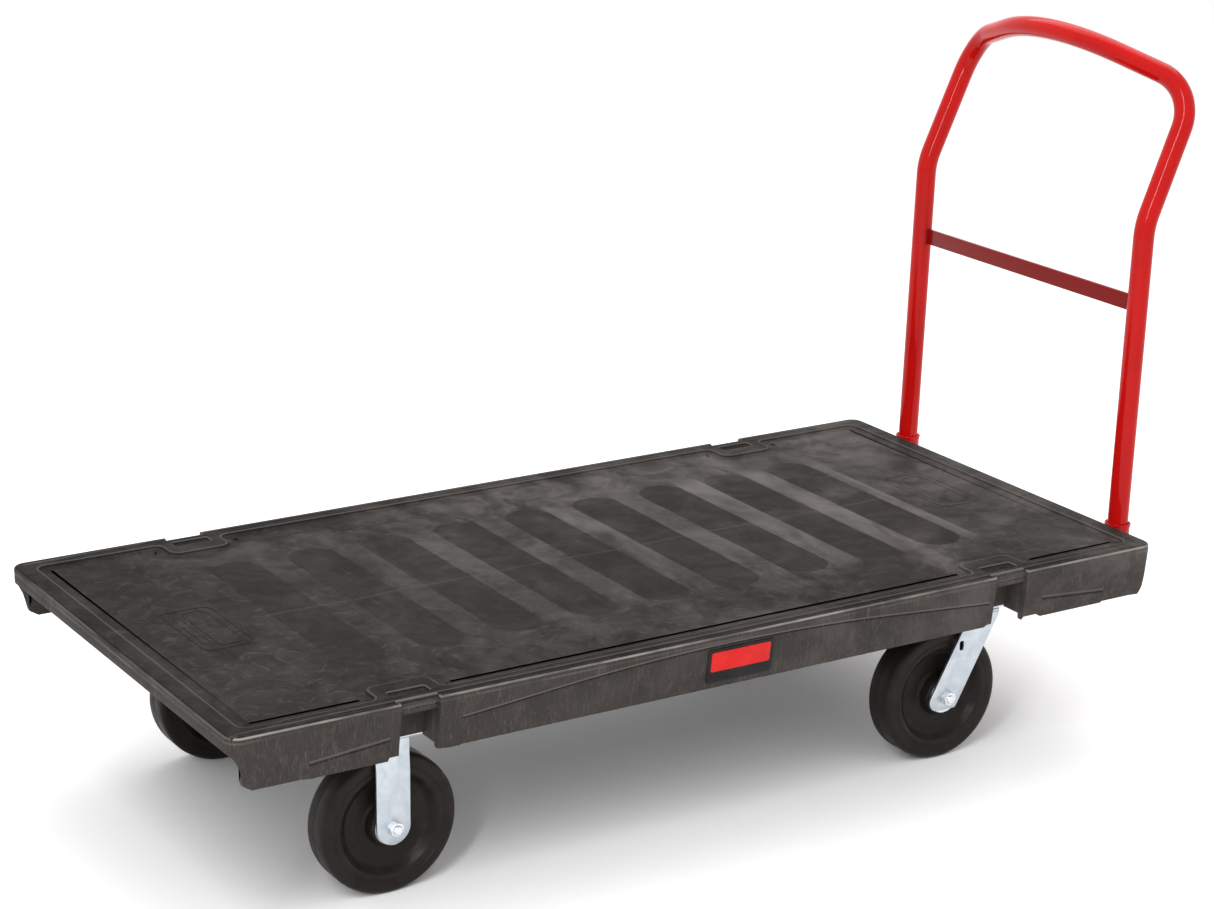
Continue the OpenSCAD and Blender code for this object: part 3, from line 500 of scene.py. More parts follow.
# %% The rim's inner outline and the slots
RIM_W, RECESS = 30, 3.5
BAY_HALF, BAY_Y = 49, 304
corners, radii = [], []
for quarter, (sx, sy) in enumerate([(-1, -1), (1, -1), (1, 1), (-1, 1)]):
    ex, ey = sx * (HALF_L - RIM_W), sy * (HALF_W - RIM_W)
    near_bay, far_bay = sx * (TIE_X + BAY_HALF), sx * (TIE_X - BAY_HALF)
    bay = [(near_bay, ey), (near_bay, sy * BAY_Y), (far_bay, sy * BAY_Y), (far_bay, ey)]
    turn_in = [12, 18, 18, 12]
    order = [(ex, ey)] + bay if quarter % 2 == 0 else bay[::-1] + [(ex, ey)]
    corners += order
    radii += [13] + turn_in if quarter % 2 == 0 else turn_in + [13]
recess = arcs(corners, radii, 8)
SLOT_HALF, SLOT_Y, SLOT_HALF_W = 28.5, 345.5, 10.5
slots = [rect(sx * TIE_X - SLOT_HALF, sx * TIE_X + SLOT_HALF,
              sy * SLOT_Y - SLOT_HALF_W, sy * SLOT_Y + SLOT_HALF_W, 3.5, 4)[::-1]
         for sx in (-1, 1) for sy in (-1, 1)]
print("rim's inner outline", len(recess), "points,", len(slots), "slots")

# %% [markdown]
# Between rim and floor runs a soft step, then a wide gutter that rises again into the floor. Both
# are one strip: the outline moved in and out, at a height for each move. The slots get rounded
# edges in the same way. The rim and the underside are flats with those outlines as their borders.

# %% Step, gutter, slot walls and flats
def at(outline, z):
    """The outline as points at height z, which may vary along it."""
    return np.hstack([outline, np.broadcast_to(z, (len(outline), 1))])


def band(outline, shifts, heights):
    """A strip that follows the outline: row k is the outline moved by shifts[k], at heights[k]."""
    points = np.stack([at(grow(outline, d), z) for d, z in zip(shifts, heights)])
    return points, grid_faces(len(shifts), len(outline), wrap_cols=True)


step_out = np.array([6, 4.6, 3.2, 1.9, 0.8, 0, -0.7, -1.3, -1.8, -4.5, -9, -15, -18])
step_down = np.array([0, 0.1, 0.35, 0.85, 1.6, 2.4, 3.1, 3.45, 3.6, 3.95, 4.05, 3.95, 3.5])
step_band = band(recess, step_out, TOP_Z - step_down)
bend = np.radians([0, 30, 60, 90])
slot_shift = np.append(2 * np.sin(bend) - 2, 0)
slot_z = np.append(TOP_Z - 2 + 2 * np.cos(bend), PLATE_UNDER)
slot_bands = [band(s, slot_shift, slot_z) for s in slots]
once = np.concatenate([[True], np.abs(np.diff(wall[0, :, :2], axis=0)).sum(1) > 1e-6])
rim_lines = [wall[0, once, :2], step_band[0][0][::-1, :2]] + [s[0][0][:, :2] for s in slot_bands]
rim_z = np.append(wall[0, once, 2], np.full(sum(len(line) for line in rim_lines[1:]), TOP_Z))
rim_sheet = (at(np.vstack(rim_lines), rim_z[:, None]), flat_fill(rim_lines))
under_lines = [wall[-1, :, :2]] + [s[0][-1][:, :2] for s in slot_bands]
under_lines[0] = under_lines[0][np.linalg.norm(np.roll(under_lines[0], 1, 0) - under_lines[0], axis=1) > 1e-6]
under_sheet = (at(np.vstack(under_lines), PLATE_UNDER), flat_fill(under_lines, up=False))
print("rim triangles", len(rim_sheet[1]), "underside triangles", len(under_sheet[1]))

# %% [markdown]
# Near both ends a plain oval field is pressed into the floor, with two plain bars inside it. Each
# line is a shallow groove with a round bottom. The floor is filled between the grooves.

# %% Pressed fields in the load floor
FLOOR_Z = TOP_Z - RECESS
groove_t = np.linspace(0, np.pi, 6)
floor_lines, inside_lines, groove_bands = [step_band[0][-1][:, :2]], [], []


def groove(outline, wide=1.6, deep=0.9):
    """A round-bottomed groove along the outline: outer edge first, depth following a sine."""
    strip = band(outline, wide * np.cos(groove_t), FLOOR_Z - deep * np.sin(groove_t))
    groove_bands.append(strip)
    return strip[0][0][:, :2], strip[0][-1][:, :2]


for middle_x in (-620, 635):
    outer, inside = groove(rect(middle_x - 38, middle_x + 38, -78, 84, 14))
    floor_lines.append(outer[::-1])
    nested = [inside]
    for x0, x1, y0, y1 in ((-10, 26, -66, 72), (-28, -17, -52, 58)):
        bar_line = rect(middle_x + x0, middle_x + x1, y0, y1, 5.4 if x1 < 0 else 11)
        bar_outer, bar_inside = groove(bar_line, 1.3, 0.7)
        nested.append(bar_outer[::-1])
        inside_lines.append([bar_inside])
    inside_lines.append(nested)
floors = [(at(np.vstack(lines), FLOOR_Z), flat_fill(lines)) for lines in [floor_lines] + inside_lines]
deck_part = part(wall_sheet, step_band, rim_sheet, under_sheet, *slot_bands, *groove_bands, *floors)
print("deck volume", round(volume(*deck_part) / 1e6, 2), "litres before ribs")

# %% [markdown]
# Under the top a grid of ribs carries the load, as in any moulding this size. The ribs are thin
# plates on edge. Two shallow bays in each cross rib leave room for the steel channels. Beside each
# slot stand the walls of its pocket, and over each caster a hollow pad reaches down to the channel.

# %% Ribs
RIB_T, RIB_Z, RIB_PITCH, RIB_TOP = 6, TOP_Z - 46, 122.7, PLATE_UNDER + 1
BAY_Z, CHANNEL_Y, CHANNEL_HALF, WEB_Z = TOP_Z - 35, 265, 53, TOP_Z - 69
INSIDE_Y, INSIDE_X, END_BAY = HALF_W - 18.5, HALF_L - 23.5, (219, 315)


def cross_rib(x, bay_z, bay_lo, bay_hi):
    """A rib's outline in the plane across the deck, with a shallow bay on each side."""
    half = [(-INSIDE_Y, RIB_TOP), (-INSIDE_Y, RIB_Z), (-bay_hi, RIB_Z), (-bay_hi, bay_z)]
    half += [(-bay_lo, bay_z), (-bay_lo, RIB_Z)]
    whole = half + [(-y, z) for y, z in half[::-1]]
    return plate([arcs(whole, 2.5, 3)], RIB_T, 1.2, (x, 0, 0), (0, 1, 0), (0, 0, 1), steps=2)


channel_bay = (CHANNEL_Y - CHANNEL_HALF, CHANNEL_Y + CHANNEL_HALF)
ribs = [cross_rib((i + 0.5) * RIB_PITCH, BAY_Z, *channel_bay) for i in range(-5, 5)]
ribs += [cross_rib(-5.5 * RIB_PITCH, RIB_Z + 6, *END_BAY), cross_rib(5.5 * RIB_PITCH, TOP_Z - 24.6, *END_BAY)]
long_rib = rect(-INSIDE_X, INSIDE_X, RIB_Z, RIB_TOP, 2.5, 3)
ribs += [plate([long_rib], RIB_T, 1.2, (0, y, 0), (1, 0, 0), (0, 0, 1), steps=2) for y in (-100, 0, 100)]
print(len(ribs), "ribs")

# %% [markdown]
# A caster pad is a hollow block, because plastic this thick would sink as it cools. The pocket walls
# keep a strap's hook from slipping under the deck, and two bosses take the bolts of the handle.

# %% Pads and pocket walls
supports = []
for sx in (-1, 1):
    for sy in (-1, 1):
        px, py = sx * TIE_X, sy * CHANNEL_Y
        outer = rect(px - 57, px + 57, py - 45, py + 45, 4, 4)
        hollow = rect(px - 51, px + 51, py - 39, py + 39, 3, 4)[::-1]
        supports.append(plate([outer, hollow], RIB_TOP - WEB_Z, 0.8, (0, 0, (RIB_TOP + WEB_Z) / 2), steps=1))
        back, front = sorted((sy * 328.8, sy * 334.8)), sorted((sy * 328.8, sy * 362.8))
        supports.append(box(px - 34.5, px + 34.5, *back, TOP_Z - 68, RIB_TOP, 1, 1.2))
        for side in (-1, 1):
            wall_x = sorted((px + side * 28.5, px + side * 34.6))
            supports.append(box(*wall_x, *front, TOP_Z - 73, RIB_TOP, 1, 1.2))
for sy in (-1, 1):
    supports.append(box(650, 710, sy * 267 - 45, sy * 267 + 45, TOP_Z - 25, RIB_TOP, 1, 3))
piece("deck_moulding", [deck_part], "deck_frame", "deck_plastic", "deck")
piece("deck_ribs", ribs, "deck_frame", "deck_plastic")
piece("deck_supports", supports, "deck_frame", "deck_plastic")

# %% [markdown]
# ## The handle
# One length of steel tube makes the whole handle: up a leg, outwards, over the bowed grip and down
# again. A tube is a circle carried along a path. The circle's plane stays square to the path, and
# its starting direction always leans towards the rear of the truck, so the surface never twists.
# A bender squashes a tube a little where it bends, and so does this one.

# %% The tube's middle line
LEG_X, LEG_Y, LEG_LEAN = 789, 267, np.radians(1.85)
TUBE_R, TUBE_WALL = 15.9, 2
LEG_DEEP, BEND_UP = 95, 463
UPPER_LEG, UPPER_LEAN, UPPER_IN = 217, np.radians(24), 4.5
BOW_FORWARD, BOW_UP = 86, 77
BEND_RADII = [104, 73, 340, 73, 104]
leg_up = np.array([np.sin(LEG_LEAN), 0, np.cos(LEG_LEAN)])
cross_dir = np.array([np.cos(LEG_LEAN), 0, -np.sin(LEG_LEAN)])
leg_foot = np.array([LEG_X, LEG_Y, TOP_Z]) - LEG_DEEP * leg_up
leg_bend = np.array([LEG_X, LEG_Y, TOP_Z]) + BEND_UP / np.cos(LEG_LEAN) * leg_up
shoulder = leg_bend + [UPPER_LEG * np.sin(UPPER_LEAN), -UPPER_IN, UPPER_LEG * np.cos(UPPER_LEAN)]
grip = np.array([shoulder[0] - BOW_FORWARD, 0, shoulder[2] + BOW_UP])
other_side = np.array([1, -1, 1])
half_knots = [leg_foot, leg_bend, shoulder]
knots = half_knots + [grip] + [knot * other_side for knot in half_knots[::-1]]
centre_line = arcs(np.array(knots) * other_side, BEND_RADII, 20, closed=False)
lengths = np.linalg.norm(np.diff(centre_line, axis=0), axis=1)
way = np.concatenate([[0], np.cumsum(lengths)])
spaced = np.unique(np.concatenate([way, np.arange(20, way[-1] - 20, 24)]))
spaced = spaced[np.concatenate([[True], np.diff(spaced) > 1.2])]
centre_line = np.stack([np.interp(spaced, way, centre_line[:, k]) for k in range(3)], -1)
heading = unit(np.diff(centre_line, axis=0))
print(f"handle tube {way[-1]:.0f} mm along its middle, {len(centre_line)} stations")

# %% [markdown]
# The turn from one station to the next tells how hard the tube bends there, and so how much it is
# squashed. At both ends the rows go on over the rim and up inside, so that the tube is seen to be
# hollow when the handle is lifted out.

# %% Circles along the tube
SQUASH = 0.022
bending = np.concatenate([[0], np.linalg.norm(np.diff(heading, axis=0), axis=1), [0]])
squash = SQUASH * np.convolve(np.minimum(bending / bending.max() * 1.5, 1), np.ones(5) / 5, "same")


def mouth(end, inward):
    """The open end of the tube, from deep inside to its outer edge: places and radii."""
    depth = np.array([70, 70, 0.6, 0, 0, 0.6])
    r = np.array([0, TUBE_R - TUBE_WALL, TUBE_R - TUBE_WALL, TUBE_R - TUBE_WALL + 0.5, TUBE_R - 0.5, TUBE_R])
    return end + depth[:, None] * inward, r


near_places, near_r = mouth(centre_line[0], heading[0])
far_places, far_r = mouth(centre_line[-1], -heading[-1])
tube_places = np.vstack([near_places, centre_line[1:-1], far_places[::-1]])
tube_radii = np.concatenate([near_r, np.full(len(centre_line) - 2, TUBE_R), far_r[::-1]])


def ring_rows(places, radii, along, oval, turns=48, ref=(1.0, 0.0, 0.0), closed=False):
    """Circles square to the given directions, joined into one skin: cos along a side that leans towards
    ref, sin along the other. oval stretches the second by that share and shrinks the first."""
    side = unit(np.array(ref) - (along @ np.array(ref))[:, None] * along)
    other = np.cross(along, side)
    angle = np.linspace(0, 2 * np.pi, turns, endpoint=False)[None, :, None]
    wide = (1 + oval)[:, None, None]
    spoke = np.cos(angle) * side[:, None] / wide + np.sin(angle) * other[:, None] * wide
    points = places[:, None] + radii[:, None, None] * spoke
    return part((points, grid_faces(len(places), turns, closed, True)))


ends = [np.repeat(heading[k][None], 6, 0) for k in (0, -1)]
along = np.vstack([ends[0], unit(heading[:-1] + heading[1:]), ends[1]])
oval = np.concatenate([np.zeros(6), squash[1:-1], np.zeros(6)])
handle_part = ring_rows(tube_places, tube_radii, along, oval)
piece("handle_bent_tube", [handle_part], "handle", "red_paint", "handle_tube", sharp=0.9)

# %% [markdown]
# A flat bar joins the two legs. It is welded on both sides, and the bead of the weld stands a
# little proud where bar and tube meet: a thin closed tube that follows the bar's outline over the
# round of the leg.

# %% Crossbar and its welds
BAR_UP, BAR_H, BAR_THICK = 341, 25, 6
bar_middle = np.array([LEG_X, 0, TOP_Z]) + BAR_UP / np.cos(LEG_LEAN) * leg_up
bar_half = LEG_Y - np.sqrt(TUBE_R**2 - (BAR_THICK / 2) ** 2) + 0.6
bar_line = rect(-bar_half, bar_half, -BAR_H / 2, BAR_H / 2, 1, 3)
bar = plate([bar_line], BAR_THICK, 1.1, bar_middle, (0, 1, 0), leg_up)
bead_line = rect(-BAR_THICK / 2, BAR_THICK / 2, -BAR_H / 2, BAR_H / 2, 1.2, 4)
round_trip = np.vstack([bead_line, bead_line[:1]])
bead_way = np.concatenate([[0], np.cumsum(np.linalg.norm(np.diff(round_trip, axis=0), axis=1))])
share_round = np.linspace(0, 1, 40, endpoint=False)
bead_even = np.stack([np.interp(share_round * bead_way[-1], bead_way, round_trip[:, k]) for k in (0, 1)], -1)
ripple = 1.9 + 0.25 * np.sin(share_round * 2 * np.pi * 20)
beads = []
for sy in (-1, 1):
    path = bar_middle + bead_even[:, :1] * cross_dir + bead_even[:, 1:] * leg_up
    path[:, 1] = sy * (LEG_Y - np.sqrt(TUBE_R**2 - bead_even[:, 0] ** 2))
    onward = unit(unit(np.roll(path, -1, 0) - path) + unit(path - np.roll(path, 1, 0)))
    beads.append(ring_rows(path, ripple, onward, np.zeros(len(path)), 10, (0.0, 1.0, 0.0), closed=True))
piece("handle_flat_bar", [bar, *beads], "handle", "red_paint", "handle_crossbar")

# %% [markdown]
# Each leg drops into a socket: a short piece of wider tube with a flared mouth, welded to a plate
# that is bolted under the deck, with a gusset below. The socket is turned about the leg's own
# leaning axis.

# %% Sockets and brackets
SOCKET_R, SOCKET_IN, SOCKET_DEEP = 19.2, 16.2, 100
BRACKET_Z, BRACKET_X0, BRACKET_X1 = TOP_Z - 30, 650, 789
MOUTH = -3.5
socket_line = [(5, -SOCKET_DEEP), (SOCKET_R - 1, -SOCKET_DEEP), (SOCKET_R, -SOCKET_DEEP + 1)]
socket_line += [(SOCKET_R, MOUTH - 8), (SOCKET_R + 0.8, MOUTH - 3.4), (SOCKET_R + 1.2, MOUTH - 1.2)]
socket_line += [(SOCKET_R + 0.8, MOUTH - 0.3), (SOCKET_R + 0.2, MOUTH), (SOCKET_IN + 1.4, MOUTH)]
socket_line += [(SOCKET_IN, MOUTH - 2.4), (SOCKET_IN, -LEG_DEEP), (5, -LEG_DEEP)]
BRACKET_HOLES_X, BRACKET_HOLE_Y = (665, 695), 30
for side, sy in (("left", -1), ("right", 1)):
    y = sy * LEG_Y
    socket = lathe(socket_line, (LEG_X, y, TOP_Z), 64, leg_up, cross_dir)
    half_rim = [[BRACKET_X0, -45], [BRACKET_X1 - 24, -45], [BRACKET_X1 + 20, -14]]
    whole_rim = np.array(half_rim + [[x, -dy] for x, dy in half_rim[::-1]]) + [0, y]
    rim = arcs(whole_rim, [8, 20, 12, 12, 20, 8])
    holes = [circle(x, y + s * BRACKET_HOLE_Y, 3.2, 16)[::-1] for x in BRACKET_HOLES_X for s in (-1, 1)]
    holes.append(circle(LEG_X - 1, y, 18.9, 48)[::-1])
    bracket = plate([rim, *holes], 5, 0.8, (0, 0, BRACKET_Z - 2.5 + 5))
    gusset_corners = [[LEG_X - 17, BRACKET_Z - 57], [LEG_X - 17, BRACKET_Z + 1], [660, BRACKET_Z + 1]]
    gusset_line = arcs(gusset_corners, [2, 2, 4])
    gusset = plate([gusset_line], 5, 0.8, (0, y, 0), (1, 0, 0), (0, 0, 1))
    node = f"handle_socket_{side}"
    piece(f"{node}_formed", [socket, bracket, gusset], "deck_frame", "red_paint", node)

# %% [markdown]
# ## The wheels
# A wheel is turned on a lathe in code as in life: its section goes once round the axle. The face is
# a flat ring, the web lies deep inside it, and a round hub stands out again. The tread is flat with
# rounded shoulders, and a fine groove runs near its edge.

# %% Wheels
BORE_R, WHEEL_R, HUB_HALF, WHEEL_HALF = 15.6, 101.6, 28.9, 25.4
hub_and_web = [[BORE_R, HUB_HALF], [29, HUB_HALF], [32.5, 13], [37, 11], [62, 11], [66, 14.5], [73.5, 23.6]]
ring_groove = [[82.6, WHEEL_HALF], [83.2, WHEEL_HALF - 0.6], [84.6, WHEEL_HALF - 0.6], [85.2, WHEEL_HALF]]
tread = [[WHEEL_R, WHEEL_HALF], [WHEEL_R, 0]]
wheel_corners = hub_and_web + [[77, WHEEL_HALF]] + ring_groove + tread
half_wheel = arcs(wheel_corners, [0.8, 3.2, 3, 5, 4, 3, 3, 2, 0.3, 0.3, 0.3, 0.3, 8, 0.1], 5)
half_wheel = half_wheel[half_wheel[:, 1] > 0.001]
wheel_section = np.vstack([half_wheel, half_wheel[::-1] * [1, -1]])


def middle_of(node):
    """The middle of a CAD node's box, in millimetres from the middle of the deck."""
    lo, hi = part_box(node)
    return (np.array(lo) + np.array(hi)) / 2 / MM - [DECK_X, 0, 0]


for kind, body in (("rigid", "front"), ("swivel", "rear")):
    for side in ("left", "right"):
        node = f"{kind}_wheel_{side}"
        axle = middle_of(node)
        wheel = lathe(wheel_section, axle, 120)
        piece(f"{node}_turned", [wheel], f"{body}_wheel_{side}", "wheel_resin", node, axle=axle)

# %% [markdown]
# ## The casters
# The two fixed forks are one strap of steel bent into a U. Its section, a thin rectangle with soft
# edges, is carried along the U, and it narrows as the root of a circle at both ends, which makes
# the round feet. The legs step in slightly near the top, as a press leaves them.

# %% Fixed forks
LEG_HALF_W, STRAP_T, FORK_HALF = 25.4, 5, 33.5
PLATE_Z, YOKE_Z, AXLE_Z, CASTER_Y = TOP_Z - 79, TOP_Z - 92, WHEEL_R, 265


def strap(x_middle, y_middle):
    """A strap of steel bent into a U round the wheel. Down each leg's round foot the half width is
    the radius times the sine of an angle, while the height is the radius times its cosine."""
    a = np.radians(np.linspace(3, 90, 14))
    foot_z, foot_w = AXLE_Z - LEG_HALF_W * np.cos(a), LEG_HALF_W * np.sin(a)
    leg_z = np.linspace(AXLE_Z, PLATE_Z - 14, 14)[1:]
    straight = np.stack([np.full(len(foot_z) + len(leg_z), -FORK_HALF), np.concatenate([foot_z, leg_z])], -1)
    under_plate = PLATE_Z - STRAP_T / 2
    bend_knots = [[-FORK_HALF, AXLE_Z], [-FORK_HALF, under_plate], [0, under_plate]]
    bend = arcs(bend_knots, [8], 8, closed=False)[1:-1]
    line = np.vstack([straight, bend])
    line[:, 0] += 1.4 * np.clip((line[:, 1] - 185) / 14, 0, 1)
    line = np.vstack([line, line[::-1] * [-1, 1]])
    width = np.concatenate([foot_w, np.full(len(line) // 2 - len(foot_w), LEG_HALF_W)])
    width = np.concatenate([width, width[::-1]])
    ahead = unit(np.gradient(line, axis=0))
    out = np.stack([ahead[:, 1], -ahead[:, 0]], -1)
    a = np.radians(np.array([0, 30, 60, 90]))
    edge = np.minimum(1.1, width / 2 + 0.01)
    quarter = [(1, 1), (-1, 1), (-1, -1), (1, -1)]
    across, thick = [], []
    for k, (sx, st) in enumerate(quarter):
        turn_a = a if k % 2 == 0 else a[::-1]
        across.append(sx * ((width - edge)[:, None] + edge[:, None] * np.cos(turn_a)))
        thick.append(st * ((STRAP_T / 2 - edge)[:, None] + edge[:, None] * np.sin(turn_a)))
    across, thick = np.hstack(across), np.hstack(thick)
    y = y_middle + line[:, :1] + thick * out[:, :1]
    z = line[:, 1:] + thick * out[:, 1:]
    points = np.stack([x_middle + across, y, z], -1)
    caps = [np.repeat(points[k].mean(0)[None, None], points.shape[1], 1) for k in (0, -1)]
    points = np.concatenate([caps[0], points, caps[1]])
    return part((points, grid_faces(len(points), points.shape[1], False, True)))


bolt_at = [(sx * 46, sy * 33.5) for sx in (-1, 1) for sy in (-1, 1)]
for side, sy in (("left", -1), ("right", 1)):
    x, y = -TIE_X, sy * CASTER_Y
    holes = [circle(x + dx, y + dy, 5.0, 18)[::-1] for dx, dy in bolt_at]
    top = plate([rect(x - 57, x + 57, y - 51, y + 51, 8), *holes], 6, 0.9, (0, 0, PLATE_Z + 3))
    piece(f"rigid_fork_{side}_pressed", [strap(x, y), top], "deck_frame", "zinc_plate", f"rigid_fork_{side}")

# %% [markdown]
# The swivelling forks lean back, so that the wheel trails behind its kingpin. Their legs are flat
# plates with a small slot near the leading edge, which held the blank in the press, and a round
# plate on top carries the balls.

# %% Swivelling forks
LEG_SLOPE, TRAIL = np.tan(np.radians(29.1)), 49
half_leg = LEG_HALF_W / np.cos(np.arctan(LEG_SLOPE))
top_x, low_z = -TRAIL + (YOKE_Z - AXLE_Z) * LEG_SLOPE, AXLE_Z - 20
low_x = -TRAIL - half_leg + (low_z - AXLE_Z) * LEG_SLOPE
slot_x = top_x - half_leg + 11.5 - 43 * LEG_SLOPE
for side, sy in (("left", -1), ("right", 1)):
    x, y = TIE_X, sy * CASTER_Y
    leg_corners = [[x + top_x + half_leg, YOKE_Z + 1], [x + top_x - half_leg, YOKE_Z + 1]]
    leg_corners += [[x + low_x, low_z], [x + low_x + 2 * half_leg, low_z]]
    leg_line = arcs(leg_corners, [2, 2, 15, 5], 8)
    slot_line = rect(x + slot_x - 3.8, x + slot_x + 3.8, YOKE_Z - 50, YOKE_Z - 36, 2.5, 5)[::-1]
    hole = circle(x - TRAIL, AXLE_Z, 6.4, 24)[::-1]
    leg_outlines = [leg_line, slot_line, hole]
    legs = [plate(leg_outlines, 5, 1.0, (0, y + s * FORK_HALF, 0), (1, 0, 0), (0, 0, 1)) for s in (-1, 1)]
    crown = plate([circle(x, y, 46, 64), circle(x, y, 8.3, 24)[::-1]], 5, 1.0, (0, 0, YOKE_Z + 2.5))
    saddle_line = rect(x + top_x - half_leg, x + top_x + half_leg, y - 36, y + 36, 4)
    saddle = plate([saddle_line], 4.4, 1.2, (0, 0, YOKE_Z + 2.4))
    node = f"swivel_yoke_{side}"
    piece(f"{node}_pressed", [*legs, crown, saddle], f"fork_{side}", "zinc_plate", node)

# %% [markdown]
# ## Bolts and nuts
# A hexagon is a circle whose radius swells towards six corners. Cut by a cone, it gets the curved
# chamfer that every real nut has: near a corner the cone starts lower, so each flat ends in an arc.

# %% Hexagons with a chamfer
def hexagon(centre, across, high, hole=0.0, axis=(0, 1, 0), ref=(1, 0, 0), turns=60):
    """Rows from the hole's edge over the flats to the top. The radius is half the width across flats,
    over the cosine of the angle to the nearest flat. The chamfer drops with what lies outside the flats."""
    angle = np.linspace(0, 2 * np.pi, turns, endpoint=False)
    r = across / 2 / np.cos((angle + np.pi / 6) % (np.pi / 3) - np.pi / 6)
    flat = np.full(turns, across / 2)
    inner_r = np.full(turns, hole)
    rows = [(inner_r, 0), (r - 0.3, 0), (r, 0.3), (r, high - 0.3 - 0.55 * (r - flat))]
    rows += [(flat * 0.985, high - 0.12), (flat * 0.95, high), (inner_r + (0.6 if hole else 0), high)]
    if hole:
        rows.append((inner_r, high - 0.6))
    radius = np.stack([a for a, _ in rows])[..., None]
    height = np.stack([np.broadcast_to(h, turns) for _, h in rows])[..., None]
    axis, ref = np.array(axis, float), np.array(ref, float)
    spoke = np.cos(angle)[:, None] * ref + np.sin(angle)[:, None] * np.cross(axis, ref)
    points = np.asarray(centre, float) + radius * spoke + height * axis
    return part((points, grid_faces(len(rows), turns, bool(hole), True)))


print("a plain nut has volume", round(volume(*hexagon((0, 0, 0), 19, 10.9, 6.3))), "cubic mm")

# %% [markdown]
# An axle is a long bolt: a turned shaft with a thread at one end, a hexagon head outside one leg
# and a nut outside the other. The thread is a row of fine ridges, which is enough for its look.

# %% Axles and nuts
AXLE_R, THREAD_DEEP, THREAD_PITCH, NUT_ACROSS = 6.35, 0.45, 0.7, 19
thread = np.array([(AXLE_R - THREAD_DEEP * (k % 2), -49.2 + THREAD_PITCH * k) for k in range(20)])
axle_line = np.vstack([[(0.0, -50), (5.5, -50)], thread, [(AXLE_R, -34), (AXLE_R, 36.2), (0.0, 36.2)]])
turn_ref = (np.cos(0.2), 0, np.sin(0.2))
for kind in ("rigid", "swivel"):
    for side, sy in (("left", 1), ("right", -1)):
        middle = middle_of(f"{kind}_wheel_{side}")
        axis = (0, sy, 0)
        body = "deck_frame" if kind == "rigid" else f"fork_{side}"
        shaft = lathe(axle_line, middle, 40, axis)
        head = hexagon(middle + np.array(axis) * 36, NUT_ACROSS, 8, 0, axis, turn_ref)
        nut = hexagon(middle - np.array(axis) * 36.1, NUT_ACROSS, 10.9, 6.3, (0, -sy, 0), turn_ref)
        piece(f"{kind}_axle_{side}_bolt", [shaft, head], body, "bolt_zinc", f"{kind}_axle_{side}")
        piece(f"{kind}_nut_{side}_hex", [nut], body, "bolt_zinc", f"{kind}_nut_{side}")

# %% [markdown]
# The casters, the channels and the handle's brackets are held by bolts that show only their heads,
# each with a thin round flange that spreads its load.

# %% Flange bolts
def flange_bolt(x, y, z, across, shank_r, shank):
    """A hexagon head hanging below z, with its flange against z and its shank going up."""
    head = across * 0.32
    flange = lathe([(0, -1.7), (across * 0.6, -1.7), (across * 0.66, -1.1), (across * 0.66, 0), (shank_r, 0),
                    (shank_r, shank), (0, shank)], (x, y, z), 32, (0, 0, 1))
    return [flange, hexagon((x, y, z - 1.2), across, head - 1.2, 0, (0, 0, -1), (1, 0, 0), 48)]


caster_bolts = [p for sx in (-1, 1) for sy in (-1, 1) for dx, dy in bolt_at
                for p in flange_bolt(sx * TIE_X + dx, sy * CASTER_Y + dy, PLATE_Z, 14, 4.7, 12)]
screws = [p for bx in (-250, 0, 250) for sy in (-1, 1)
          for p in flange_bolt(bx, sy * CASTER_Y, PLATE_Z + 6, 10, 2.9, 12)]
socket_bolts = [p for bx in BRACKET_HOLES_X for sy in (-1, 1) for s in (-BRACKET_HOLE_Y, BRACKET_HOLE_Y)
                for p in flange_bolt(bx, sy * LEG_Y + s, BRACKET_Z, 10, 2.9, 8)]
piece("caster_bolts_hex", caster_bolts, "deck_frame", "bolt_zinc", "caster_bolts")
piece("channel_screws_hex", screws, "deck_frame", "bolt_zinc", "channel_screws")
piece("socket_bolts_hex", socket_bolts, "deck_frame", "bolt_zinc", "socket_bolts")

# %% [markdown]
# ## The plates on the sides
# A thin plain plate sits in the recessed panel of each skirt, with a plain coloured field on it.
# Both lean with the skirt.

# %% Side plates
skirt_tilt = np.arctan(LEAN / (SKIRT_H - 14))
for side, sy in (("left", -1), ("right", 1)):
    up = np.array([0, sy * np.sin(skirt_tilt), np.cos(skirt_tilt)])
    right = np.array([-sy, 0, 0])
    outward = np.cross(right, up)
    hinge = np.array([14, sy * HALF_W, WALL_TOP])
    plate_at = hinge - 32 * up - (2 - 0.75) * outward
    field_at = hinge - 26 * up - (0.5 - 0.25) * outward
    backing = plate([rect(-55, 55, -26, 26, 5)], 1.5, 0.5, plate_at, right, up)
    field = plate([rect(-49, 49, -15, 15, 3)], 0.6, 0.25, field_at, right, up)
    piece(f"side_plate_{side}_backing", [backing], "deck_frame", "plate_black", f"side_plate_{side}")
    piece(f"side_inlay_{side}_field", [field], "deck_frame", "inlay_red", f"side_inlay_{side}")

# %% [markdown]
# ## Finishes
# All finishes are node materials that read a point's own place on the truck, so that they stay put
# when a wheel turns or the camera moves. A short helper adds one node, sets its plain values and
# links the rest, and keeps each recipe readable.

